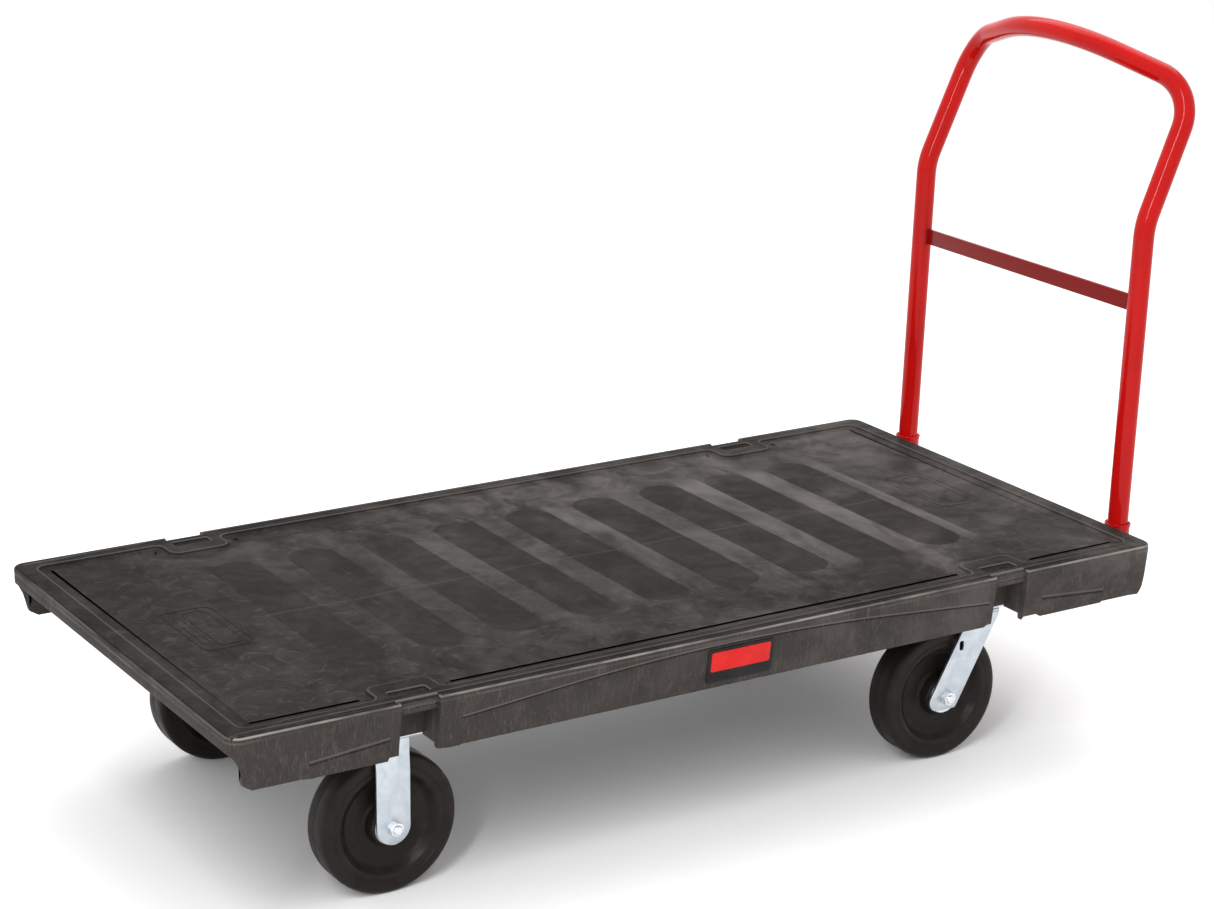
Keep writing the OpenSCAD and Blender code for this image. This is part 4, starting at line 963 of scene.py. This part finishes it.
# %% Helpers for materials
class Finish:
    """A node material under construction. Each method adds nodes and gives back an output socket."""

    def __init__(self, name, colour, roughness, metallic=0.0, **extra):
        self.slot = name
        self.material = bpy.data.materials.new(name)
        self.material.use_nodes = True
        self.tree = self.material.node_tree
        self.shader = self.tree.nodes["Principled BSDF"]
        self.shader.inputs["Base Color"].default_value = (*colour, 1)
        self.shader.inputs["Roughness"].default_value = roughness
        self.shader.inputs["Metallic"].default_value = metallic
        for key, value in extra.items():
            self.shader.inputs[key.replace("_", " ")].default_value = value
        self.place = self.node("TexCoord").node.outputs["Object"]

    def node(self, kind, settings=(), out=0, **links):
        """One node. Names of inputs carry _ for a space, and i0, i1, i2 mean inputs by number."""
        made = self.tree.nodes.new("ShaderNode" + kind)
        for key, value in dict(settings).items():
            setattr(made, key, value)
        for key, value in links.items():
            by_number = key[0] == "i" and key[1:].isdigit()
            socket = made.inputs[int(key[1:]) if by_number else key.replace("_", " ")]
            if isinstance(value, bpy.types.NodeSocket):
                self.tree.links.new(value, socket)
            else:
                socket.default_value = value
        return made.outputs[out]

    def math(self, what, a, b=0.0):
        """One sum, product or comparison of two values."""
        return self.node("Math", {"operation": what}, i0=a, i1=b)

    def times(self, first, *others):
        """All the values multiplied."""
        for other in others:
            first = self.math("MULTIPLY", first, other)
        return first

    def minus(self, a, b):
        """The second value taken from the first."""
        return self.math("SUBTRACT", a, b)

    def noise(self, size, detail=3.0, stretch=(1, 1, 1), warp=0.0, rough=0.5, place=None):
        """Cloudy noise whose spots are about size metres wide, stretched by the three factors."""
        spread = self.node("Mapping", Vector=place or self.place, Scale=[1 / size / s for s in stretch])
        shape = {"Detail": detail, "Roughness": rough, "Distortion": warp}
        return self.node("TexNoise", Vector=spread, Scale=1.0, **shape)

    def fit(self, value, lo, hi, to_lo=0.0, to_hi=1.0, smooth=True):
        """The value's stretch from lo to hi, carried to to_lo .. to_hi and held there."""
        kind = {"interpolation_type": "SMOOTHSTEP" if smooth else "LINEAR"}
        return self.node("MapRange", kind, Value=value, From_Min=lo, From_Max=hi, To_Min=to_lo, To_Max=to_hi)

    def between(self, value, rise, fall):
        """A soft band: it rises over the first pair of values and falls again over the second pair."""
        return self.math("MULTIPLY", self.fit(value, *rise), self.fit(value, *fall))

    def blend(self, share, a, b):
        """Two colours mixed by share."""
        made = self.tree.nodes.new("ShaderNodeMix")
        made.data_type = "RGBA"
        for socket, value in ((made.inputs[0], share), (made.inputs[6], a), (made.inputs[7], b)):
            if isinstance(value, bpy.types.NodeSocket):
                self.tree.links.new(value, socket)
            else:
                socket.default_value = value if isinstance(value, float) else (*value, 1)
        return made.outputs[2]

    def use(self, socket, value):
        """Links a value to the shader."""
        self.tree.links.new(value, self.shader.inputs[socket])

    def bump(self, height, depth, under=None):
        """Height from 0 to 1 pressed into the surface, depth in metres."""
        links = {"Height": height, "Distance": depth, "Strength": 1.0}
        if under is not None:
            links["Normal"] = under
        bumped = self.node("Bump", **links)
        self.use("Normal", bumped)
        return bumped


def wear(finish, edges=0.35):
    """Where an edge is sharp or stands proud: the surface's pointiness, broken up by noise."""
    point = finish.node("NewGeometry").node.outputs["Pointiness"]
    edge = finish.fit(point, 0.53, 0.62)
    broken = finish.fit(finish.noise(0.03, 6), edges, edges + 0.3)
    return finish.math("MULTIPLY", edge, broken)


# %% [markdown]
# ### Deck plastic
# Structural foam is plastic with gas in it. It flows into the mould in slow fronts that freeze as marbled
# clouds, a little lighter or darker than the ground colour. Three noises of different sizes give the clouds,
# the curls and the dark spots. The clouds grow stronger towards the rear of the deck, which paints the rear
# lighter, as painted light, and a painted sheen lies there. The skirts' faces are painted lighter than the
# top, also as painted light.

# %% Marbled ground
deck_plastic = Finish("deck_plastic", (0.03, 0.027, 0.025), 0.5, Specular_IOR_Level=0.03)
f = deck_plastic
along, across, height = (f.node("SeparateXYZ", i0=f.place).node.outputs[k] for k in range(3))
from_side = f.math("ABSOLUTE", across)
deck_along = f.minus(along, DECK_X * MM)
from_middle = f.math("ABSOLUTE", deck_along)
on_top = f.fit(height, (TOP_Z - 5) * MM, (TOP_Z - 4) * MM, smooth=False)
off_top = f.minus(1.0, on_top)
# Painted light: a share that makes the deck lighter towards the rear, as the lamps light it
painted_rear_light = f.fit(f.math("ADD", along, f.times(across, 0.7)), -0.70, 0.60, 0.22, 1.3)
ground, light, dark = (0.0145, 0.0125, 0.0113), (0.088, 0.0775, 0.0720), (0.0060, 0.0051, 0.0045)
clouds = f.times(f.fit(f.noise(0.2, 8, (1, 1.6, 1), 1.1, 0.62), 0.40, 0.64), painted_rear_light)
curls = f.fit(f.noise(0.06, 6, (0.8, 0.8, 1.6), 3.4, 0.64), 0.5, 0.72)
deep = f.fit(f.noise(0.1, 5, (1, 1, 1), 2.4, 0.55), 0.56, 0.36)
# Painted sheen: a pale painted reflection over the rear of the deck
painted_sheen = f.fit(f.math("ADD", along, f.times(across, 0.9)), -0.1, 0.8, 0.0, 0.4)
tone = f.blend(f.times(clouds, 0.72), ground, light)
tone = f.blend(painted_sheen, tone, (0.078, 0.0690, 0.0640))
tone = f.blend(f.times(curls, 0.30), tone, light)
tone = f.blend(f.times(deep, 0.45), tone, dark)
# Painted light: the skirts' side faces are painted lighter than the top
tone = f.blend(f.times(off_top, 0.34), tone, light)
print("ground of the deck plastic", ground, "and its lightest clouds", light)

# %% [markdown]
# Nine dark ovals lie across the load floor, above the bays between the ribs, where the plastic
# cools in another way. An oval is all points nearer than a radius to a short line. Taking the place
# along the deck modulo their pitch repeats one oval nine times. The stripes between are lighter.

# %% Ovals and stripes on the load floor
OVALS, OVAL_PITCH, OVAL_R, OVAL_HALF, OVAL_MID_X, OVAL_MID_Y = 9, 0.1226, 0.0375, 0.191, 0.009, 0.0085
HALF_ROW = OVAL_PITCH * OVALS / 2
steps_along = f.minus(deck_along, OVAL_MID_X - HALF_ROW)
lane = f.math("ABSOLUTE", f.minus(f.math("FLOORED_MODULO", steps_along, OVAL_PITCH), OVAL_PITCH / 2))
off_line = f.minus(f.math("ABSOLUTE", f.minus(across, OVAL_MID_Y)), OVAL_HALF)
reach = f.math("MAXIMUM", off_line, 0.0)
radius = f.math("SQRT", f.math("ADD", f.times(lane, lane), f.times(reach, reach)))
radius = f.math("ADD", radius, f.times(f.minus(f.noise(0.02, 2), 0.5), 0.003))
inside = f.math("LESS_THAN", f.math("ABSOLUTE", f.minus(steps_along, HALF_ROW)), HALF_ROW)
field = f.times(inside, on_top)
oval = f.times(f.fit(radius, OVAL_R + 0.0018, OVAL_R - 0.0012), field)
oval = f.times(oval, f.fit(f.noise(0.15, 3, warp=0.8), 0.3, 0.6, 0.5, 1.0))
stripe = f.times(f.fit(lane, OVAL_R, OVAL_R + 0.003), f.fit(reach, 0.06, 0.0), field)
stripe = f.times(stripe, f.fit(f.noise(0.08, 6, (1, 2.4, 1), 0.9), 0.36, 0.66, 0.25, 1.0))
# The stripes fade towards the front with the painted rear light
stripe = f.times(stripe, f.times(painted_rear_light, painted_rear_light))
tone = f.blend(f.times(stripe, 0.48), tone, (0.120, 0.110, 0.105))
tone = f.blend(f.times(oval, 0.86), tone, (0.0150, 0.0136, 0.0105))
weld = f.fit(f.math("ABSOLUTE", f.minus(across, f.times(f.noise(0.2, 2), 0.02))), 0.004, 0.0)
tone = f.blend(f.times(weld, field, 0.22), tone, light)
print(OVALS, "ovals,", OVAL_PITCH * 1000, "mm from one to the next")

# %% [markdown]
# The rim is rubbed darker than the floor. A thin painted highlight follows the step's rounded edge, and
# painted shade with dirt darkens the foot of the step and the gutter beyond it. The step lies at its own
# heights, so the height tells where it is, and the slots and the outer edge are left out of its highlight and
# shade. The slots' rounded edges get a painted highlight of their own.

# %% Rim and step
rim = f.fit(height, (TOP_Z - 2.4) * MM, (TOP_Z - 0.8) * MM)
outside = f.math("MAXIMUM", f.minus(from_side, 0.3755), f.minus(from_middle, 0.7565))
outer = f.fit(outside, -0.0006, 0.0006)
tone = f.blend(f.times(rim, 0.42), tone, dark)
near_slot = f.math("LESS_THAN", f.math("ABSOLUTE", f.minus(from_middle, TIE_X * MM)), 0.031)
at_slot = f.times(near_slot, f.math("GREATER_THAN", from_side, 0.333))
floor_side = f.times(on_top, f.minus(1.0, f.math("MAXIMUM", outer, at_slot)))


def below_top(near, far):
    """Two depths in millimetres below the deck's top, as heights in metres."""
    return (TOP_Z - near) * MM, (TOP_Z - far) * MM


# Painted highlight: a thin light line along the step's rounded edge
step_highlight = f.between(height, below_top(0.04, 0.2), below_top(1.3, 0.8))
tone = f.blend(f.times(step_highlight, floor_side, 0.4), tone, (0.11, 0.10, 0.095))
# Painted shade and dirt: a dark line at the foot of the step and a fainter one in the gutter
step = f.between(height, below_top(1.1, 1.8), below_top(3.4, 3.2))
gutter = f.fit(height, *below_top(3.52, 3.85))
step = f.times(f.math("MAXIMUM", step, f.times(gutter, 0.4)), floor_side)
tone = f.blend(f.times(step, 0.5), tone, (0.006, 0.0052, 0.0048))
# Painted highlight: a light line round each slot's rounded edge
slot_lip_highlight = f.times(at_slot, f.fit(height, *below_top(0.1, 0.6)), f.fit(height, *below_top(3.2, 1.6)))
tone = f.blend(f.times(slot_lip_highlight, 0.6), tone, (0.15, 0.135, 0.125))
print("the step's dark line lies 1 to 3 mm below the deck's top")

# %% [markdown]
# A painted highlight runs along the rounded top edge of the skirts, broken by noise and stronger on the sides
# than on the ends, with a fainter second painted highlight where the skirt's face begins. Sharp edges also
# get knocked and rubbed pale.

# %% Painted highlights and wear on the outer edges
# Painted highlight along the rounded top edge, stronger on the sides than on the ends
edge = f.between(height, below_top(4.6, 3.2), below_top(0.7, 2))
edge = f.times(edge, outer, f.fit(f.noise(0.03, 5, (3, 3, 1)), 0.34, 0.62, 0.3, 1.0))
side_highlight_share = f.fit(from_side, 0.3740, 0.3765, 0.3, 1.0)
tone = f.blend(f.times(edge, side_highlight_share, 0.9), tone, (0.25, 0.228, 0.21))
# A fainter second painted highlight where the skirt's face begins
second = f.between(height, below_top(11, 9.5), below_top(7, 8.5))
second = f.times(second, f.fit(f.noise(0.04, 5, (3, 3, 1)), 0.38, 0.66))
tone = f.blend(f.times(second, 0.35), tone, (0.16, 0.145, 0.135))
tone = f.blend(f.times(wear(f), 0.4), tone, (0.12, 0.11, 0.105))
# The heights printed are those of the painted edge highlights
print("worn edges 1 to 5 mm and 7 to 11 mm below the top")

# %% [markdown]
# The panels in the skirts start with a small lip under the shallow arch. The same formula as in the wall's
# profile gives the arch's height, so a painted highlight and a painted shadow can follow the lip.

# %% The lip over the panels
panel_drop = f.times(from_middle, from_middle, ARCH_SLOPE / (2 * ARCH_BOW * MM))
straight_drop = f.times(f.minus(from_middle, ARCH_BOW * MM / 2), ARCH_SLOPE)
bowed = f.math("LESS_THAN", from_middle, ARCH_BOW * MM)
drop = f.node("Mix", i0=bowed, i2=straight_drop, i3=panel_drop)
over_arch = f.math("ADD", height, f.minus(drop, WALL_TOP * MM))
on_panel = 0.0
for x0, x1, _ in PANELS:
    off_middle = f.math("ABSOLUTE", f.minus(deck_along, (x0 + x1) / 2 * MM))
    on_panel = f.math("MAXIMUM", on_panel, f.math("LESS_THAN", off_middle, (x1 - x0) / 2 * MM))
on_panel = f.times(on_panel, f.fit(from_side, 0.366, 0.368))
# Painted highlight above the lip and painted shadow below it
lip_highlight = f.between(over_arch, (-0.0004, 0.0006), (0.0034, 0.0020))
lip_shadow = f.between(over_arch, (-0.0002, -0.0010), (-0.0046, -0.0018))
tone = f.blend(f.times(lip_highlight, on_panel, 0.36), tone, (0.17, 0.153, 0.142))
tone = f.blend(f.times(lip_shadow, on_panel, 0.75), tone, (0.006, 0.0054, 0.005))
print(len(PANELS), "panels on each side have a lip")

# %% [markdown]
# As a moulding leaves its mould, the skirts drag along the steel and keep fine upright marks. The
# load floor has faint scuffs across it. Last come the gloss, a little duller in the ovals, and two
# bumps: a fine grain and the shallow relief of the swirls.

# %% Drag marks, gloss and grain
drag = f.times(f.fit(f.noise(0.0035, 4, (1, 1, 16), 2.2, 0.6), 0.5, 0.78), off_top)
tone = f.blend(f.times(drag, 0.5), tone, (0.125, 0.112, 0.102))
scuffs = f.times(f.fit(f.noise(0.0035, 3, (1, 16, 1), 0.8), 0.62, 0.8), on_top)
tone = f.blend(f.times(scuffs, 0.2), tone, (0.13, 0.12, 0.115))
f.use("Base Color", tone)
rough = f.fit(f.noise(0.07, 4, warp=1.5), 0.3, 0.7, 0.4, 0.56)
f.use("Roughness", f.math("ADD", rough, f.times(oval, 0.06)))
grain = f.bump(f.noise(0.0011, 2), 0.00006)
f.bump(f.math("ADD", clouds, f.math("ADD", curls, drag)), 0.00007, grain)
print("deck plastic has", len(f.tree.nodes), "nodes")

# %% [markdown]
# ### Red powder coat
# The handle is powder coated: a thick glossy skin with a faint orange peel, thinner and darker where the
# spray reached less. The flat crossbar is painted much darker than the legs, as painted shade, so a share
# that is 1 only at the crossbar's height and between the legs picks it out.

# %% Red powder coat
red_paint = Finish("red_paint", (0.41, 0.004, 0.0030), 0.1, Specular_IOR_Level=0.16)
f = red_paint
mottle = f.fit(f.noise(0.09, 3), 0.35, 0.65)
coat = f.blend(mottle, (0.385, 0.0034, 0.0026), (0.435, 0.0042, 0.0032))
across, up = (f.node("SeparateXYZ", i0=f.place).node.outputs[k] for k in (1, 2))
# Painted shade: the flat crossbar is painted much darker than the legs
painted_bar_shade = f.math("LESS_THAN", f.math("ABSOLUTE", f.minus(up, (TOP_Z + BAR_UP) * MM)), 0.015)
painted_bar_shade = f.times(painted_bar_shade, f.math("LESS_THAN", f.math("ABSOLUTE", across), (LEG_Y - TUBE_R) * MM))
coat = f.blend(f.times(painted_bar_shade, 0.9), coat, (0.15, 0.0022, 0.0020))
f.use("Base Color", f.blend(f.times(wear(f), 0.3), coat, (0.27, 0.012, 0.011)))
f.use("Roughness", f.fit(f.noise(0.03, 4), 0.3, 0.7, 0.08, 0.13))
f.bump(f.noise(0.02, 2), 0.00003)
print("powder coat has", len(f.tree.nodes), "nodes")

# %% [markdown]
# ### Zinc, steel and brass
# The pressed caster parts are bright zinc plated, which leaves a bluish silver with soft cloudy
# patches. Bolts and nuts are the same plating on a finer surface, and the bearings are bare steel.

# %% Metals
def metal(name, colour, roughness, cloud, tint, grain_size):
    """A bare or plated metal: cloudy colour and gloss, with a fine grain pressed in."""
    f = Finish(name, colour, roughness, 1.0)
    shade = f.blend(f.fit(f.noise(cloud, 5, warp=0.8), 0.3, 0.7), colour, tint)
    f.use("Base Color", f.blend(f.times(wear(f), 0.4), shade, tuple(min(1, 1.25 * c) for c in colour)))
    f.use("Roughness", f.fit(f.noise(cloud / 2, 4), 0.3, 0.7, roughness - 0.07, roughness + 0.1))
    f.bump(f.noise(grain_size, 2), 0.00003)
    return f


zinc_plate = metal("zinc_plate", (0.56, 0.60, 0.64), 0.4, 0.02, (0.48, 0.52, 0.57), 0.002)
bolt_zinc = metal("bolt_zinc", (0.78, 0.80, 0.82), 0.24, 0.008, (0.66, 0.68, 0.72), 0.0012)
bearing_steel = metal("bearing_steel", (0.60, 0.61, 0.63), 0.26, 0.01, (0.52, 0.53, 0.55), 0.0008)
insert_brass = metal("insert_brass", (0.72, 0.55, 0.25), 0.32, 0.008, (0.6, 0.43, 0.2), 0.001)
print("four metals, zinc plating with", len(zinc_plate.tree.nodes), "nodes")

# %% [markdown]
# ### Wheel resin
# The wheels are a hard moulded resin, almost black with a warm brown under it. Their faces keep
# faint rings from the mould, which turn with the wheel: the pattern reads the distance from the
# axle, out of the attribute that each wheel's mesh carries.

# %% Wheel resin
wheel_resin = Finish("wheel_resin", (0.015, 0.011, 0.0095), 0.34, Specular_IOR_Level=0.13)
f = wheel_resin
turned = f.node("Attribute", {"attribute_name": "turned"}, out=1)
split = f.node("SeparateXYZ", i0=turned).node.outputs
from_axle = f.math("SQRT", f.math("ADD", f.times(split[0], split[0]), f.times(split[2], split[2])))
ring_place = f.node("CombineXYZ", i0=from_axle, i1=0.0, i2=0.0)
rings = f.noise(0.0022, 3, place=ring_place)
smear = f.fit(f.noise(0.03, 5, warp=1.2, place=turned), 0.35, 0.7)
resin = f.blend(smear, (0.0105, 0.0080, 0.0070), (0.0165, 0.0125, 0.0108))
on_tread = f.fit(from_axle, 0.0985, 0.1005)
resin = f.blend(f.times(on_tread, 0.3), resin, (0.024, 0.0190, 0.0165))
resin = f.blend(f.times(f.fit(rings, 0.5, 0.75), 0.3), resin, (0.036, 0.028, 0.024))
f.use("Base Color", f.blend(f.times(wear(f), 0.35), resin, (0.09, 0.075, 0.065)))
gloss = f.fit(f.noise(0.02, 4, place=turned), 0.3, 0.7, 0.3, 0.44)
f.use("Roughness", f.math("ADD", gloss, f.times(on_tread, 0.14)))
f.bump(rings, 0.00006, f.bump(f.noise(0.001, 2, place=turned), 0.00002))
print("wheel resin has", len(f.tree.nodes), "nodes")

# %% [markdown]
# ### Coatings, seals and plates
# The channels under the deck are coated black, the swivels have dark rubber seals, and the side
# plates are smooth plastic with a printed field. All are two near shades in clouds with a grain.

# %% Coated and moulded darks
def dark_finish(name, colour, other, roughness, grain_size, grain_depth):
    """A coating or moulding: two near shades in clouds, and a fine grain."""
    f = Finish(name, colour, roughness, Specular_IOR_Level=0.15)
    shade = f.blend(f.fit(f.noise(0.03, 5, warp=0.7), 0.35, 0.68), colour, other)
    f.use("Base Color", f.blend(f.times(wear(f), 0.35), shade, tuple(3 * c + 0.02 for c in colour)))
    f.use("Roughness", f.fit(f.noise(0.02, 4), 0.3, 0.7, roughness - 0.06, roughness + 0.1))
    f.bump(f.noise(grain_size, 2), grain_depth)
    return f


channel_steel = dark_finish("channel_steel", (0.018, 0.018, 0.019), (0.028, 0.028, 0.029), 0.45, 0.002, 5e-5)
seal_rubber = dark_finish("seal_rubber", (0.012, 0.012, 0.012), (0.02, 0.02, 0.02), 0.6, 0.0012, 4e-5)
plate_black = dark_finish("plate_black", (0.006, 0.006, 0.007), (0.011, 0.011, 0.012), 0.28, 0.004, 1e-5)
inlay_red = dark_finish("inlay_red", (0.52, 0.010, 0.009), (0.58, 0.014, 0.012), 0.35, 0.004, 1e-5)
print("four coatings, the channels' with", len(channel_steel.tree.nodes), "nodes")

# %% [markdown]
# Every surface that shows gets its finish by its slot's name. New pieces carry the slot that they
# were given, and the CAD's own nodes have theirs in the part's record.

# %% Finishes onto pieces
finishes = (deck_plastic, red_paint, zinc_plate, bolt_zinc, bearing_steel, insert_brass, wheel_resin,
            channel_steel, seal_rubber, plate_black, inlay_red)
finish_of_slot = {f.slot: f.material for f in finishes}
slot_of_node = {row["node"]: row["material_slot"] for row in frame["record"]["subparts"]}
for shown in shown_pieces():
    slot_name = shown.get("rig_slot") or slot_of_node[shown["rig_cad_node"]]
    shown.data.materials.clear()
    shown.data.materials.append(finish_of_slot[slot_name])

# %% [markdown]
# ## Floor and light
# The truck stands on a plain pale floor, so wide that its edge lies at the horizon. It is stage, not part of
# the truck.

# %% Floor
FLOOR_HALF = 60
floor_corners = [(-FLOOR_HALF, -FLOOR_HALF, 0), (FLOOR_HALF, -FLOOR_HALF, 0),
                 (FLOOR_HALF, FLOOR_HALF, 0), (-FLOOR_HALF, FLOOR_HALF, 0)]
floor_mesh = bpy.data.meshes.new("floor")
floor_mesh.from_pydata(floor_corners, [], [(0, 1, 2, 3)])
floor = bpy.data.objects.new("floor", floor_mesh)
bpy.context.scene.collection.objects.link(floor)
pale = Finish("studio_floor", (0.9, 0.9, 0.9), 0.85)
floor.data.materials.append(pale.material)
print("floor", 2 * FLOOR_HALF, "m wide")

# %% [markdown]
# A white surrounding gives even light. A long narrow lamp at the front left draws thin highlights
# along the tube, and a broad one above keeps the deck's rear bright. A lamp shines along its own
# downward axis, so that axis is turned towards the aim.

# %% Lights
def soft_light(name, place, aim, size, watts):
    """A rectangular lamp at a place, turned so that it shines at the aim."""
    data = bpy.data.lights.new(name, "AREA")
    data.shape = "RECTANGLE"
    data.size, data.size_y = size
    data.energy = watts
    lamp = bpy.data.objects.new(name, data)
    bpy.context.scene.collection.objects.link(lamp)
    backward = Matrix.Translation(place).to_translation() - Matrix.Translation(aim).to_translation()
    lamp.matrix_world = Matrix.Translation(place) @ backward.to_track_quat("Z", "Y").to_matrix().to_4x4()


soft_light("key", (-2.5, -2.5, 3.3), (0, 0, 0.4), (0.3, 3.2), 110)
soft_light("top", (1.2, 1.4, 3.6), (0, 0, 0.3), (4, 3), 80)
world = bpy.data.worlds.new("studio")
bpy.context.scene.world = world
world.use_nodes = True
world.node_tree.nodes["Background"].inputs[0].default_value = (1, 1, 1, 1)
world.node_tree.nodes["Background"].inputs[1].default_value = 1.08
bpy.context.scene.view_settings.view_transform = "Standard"
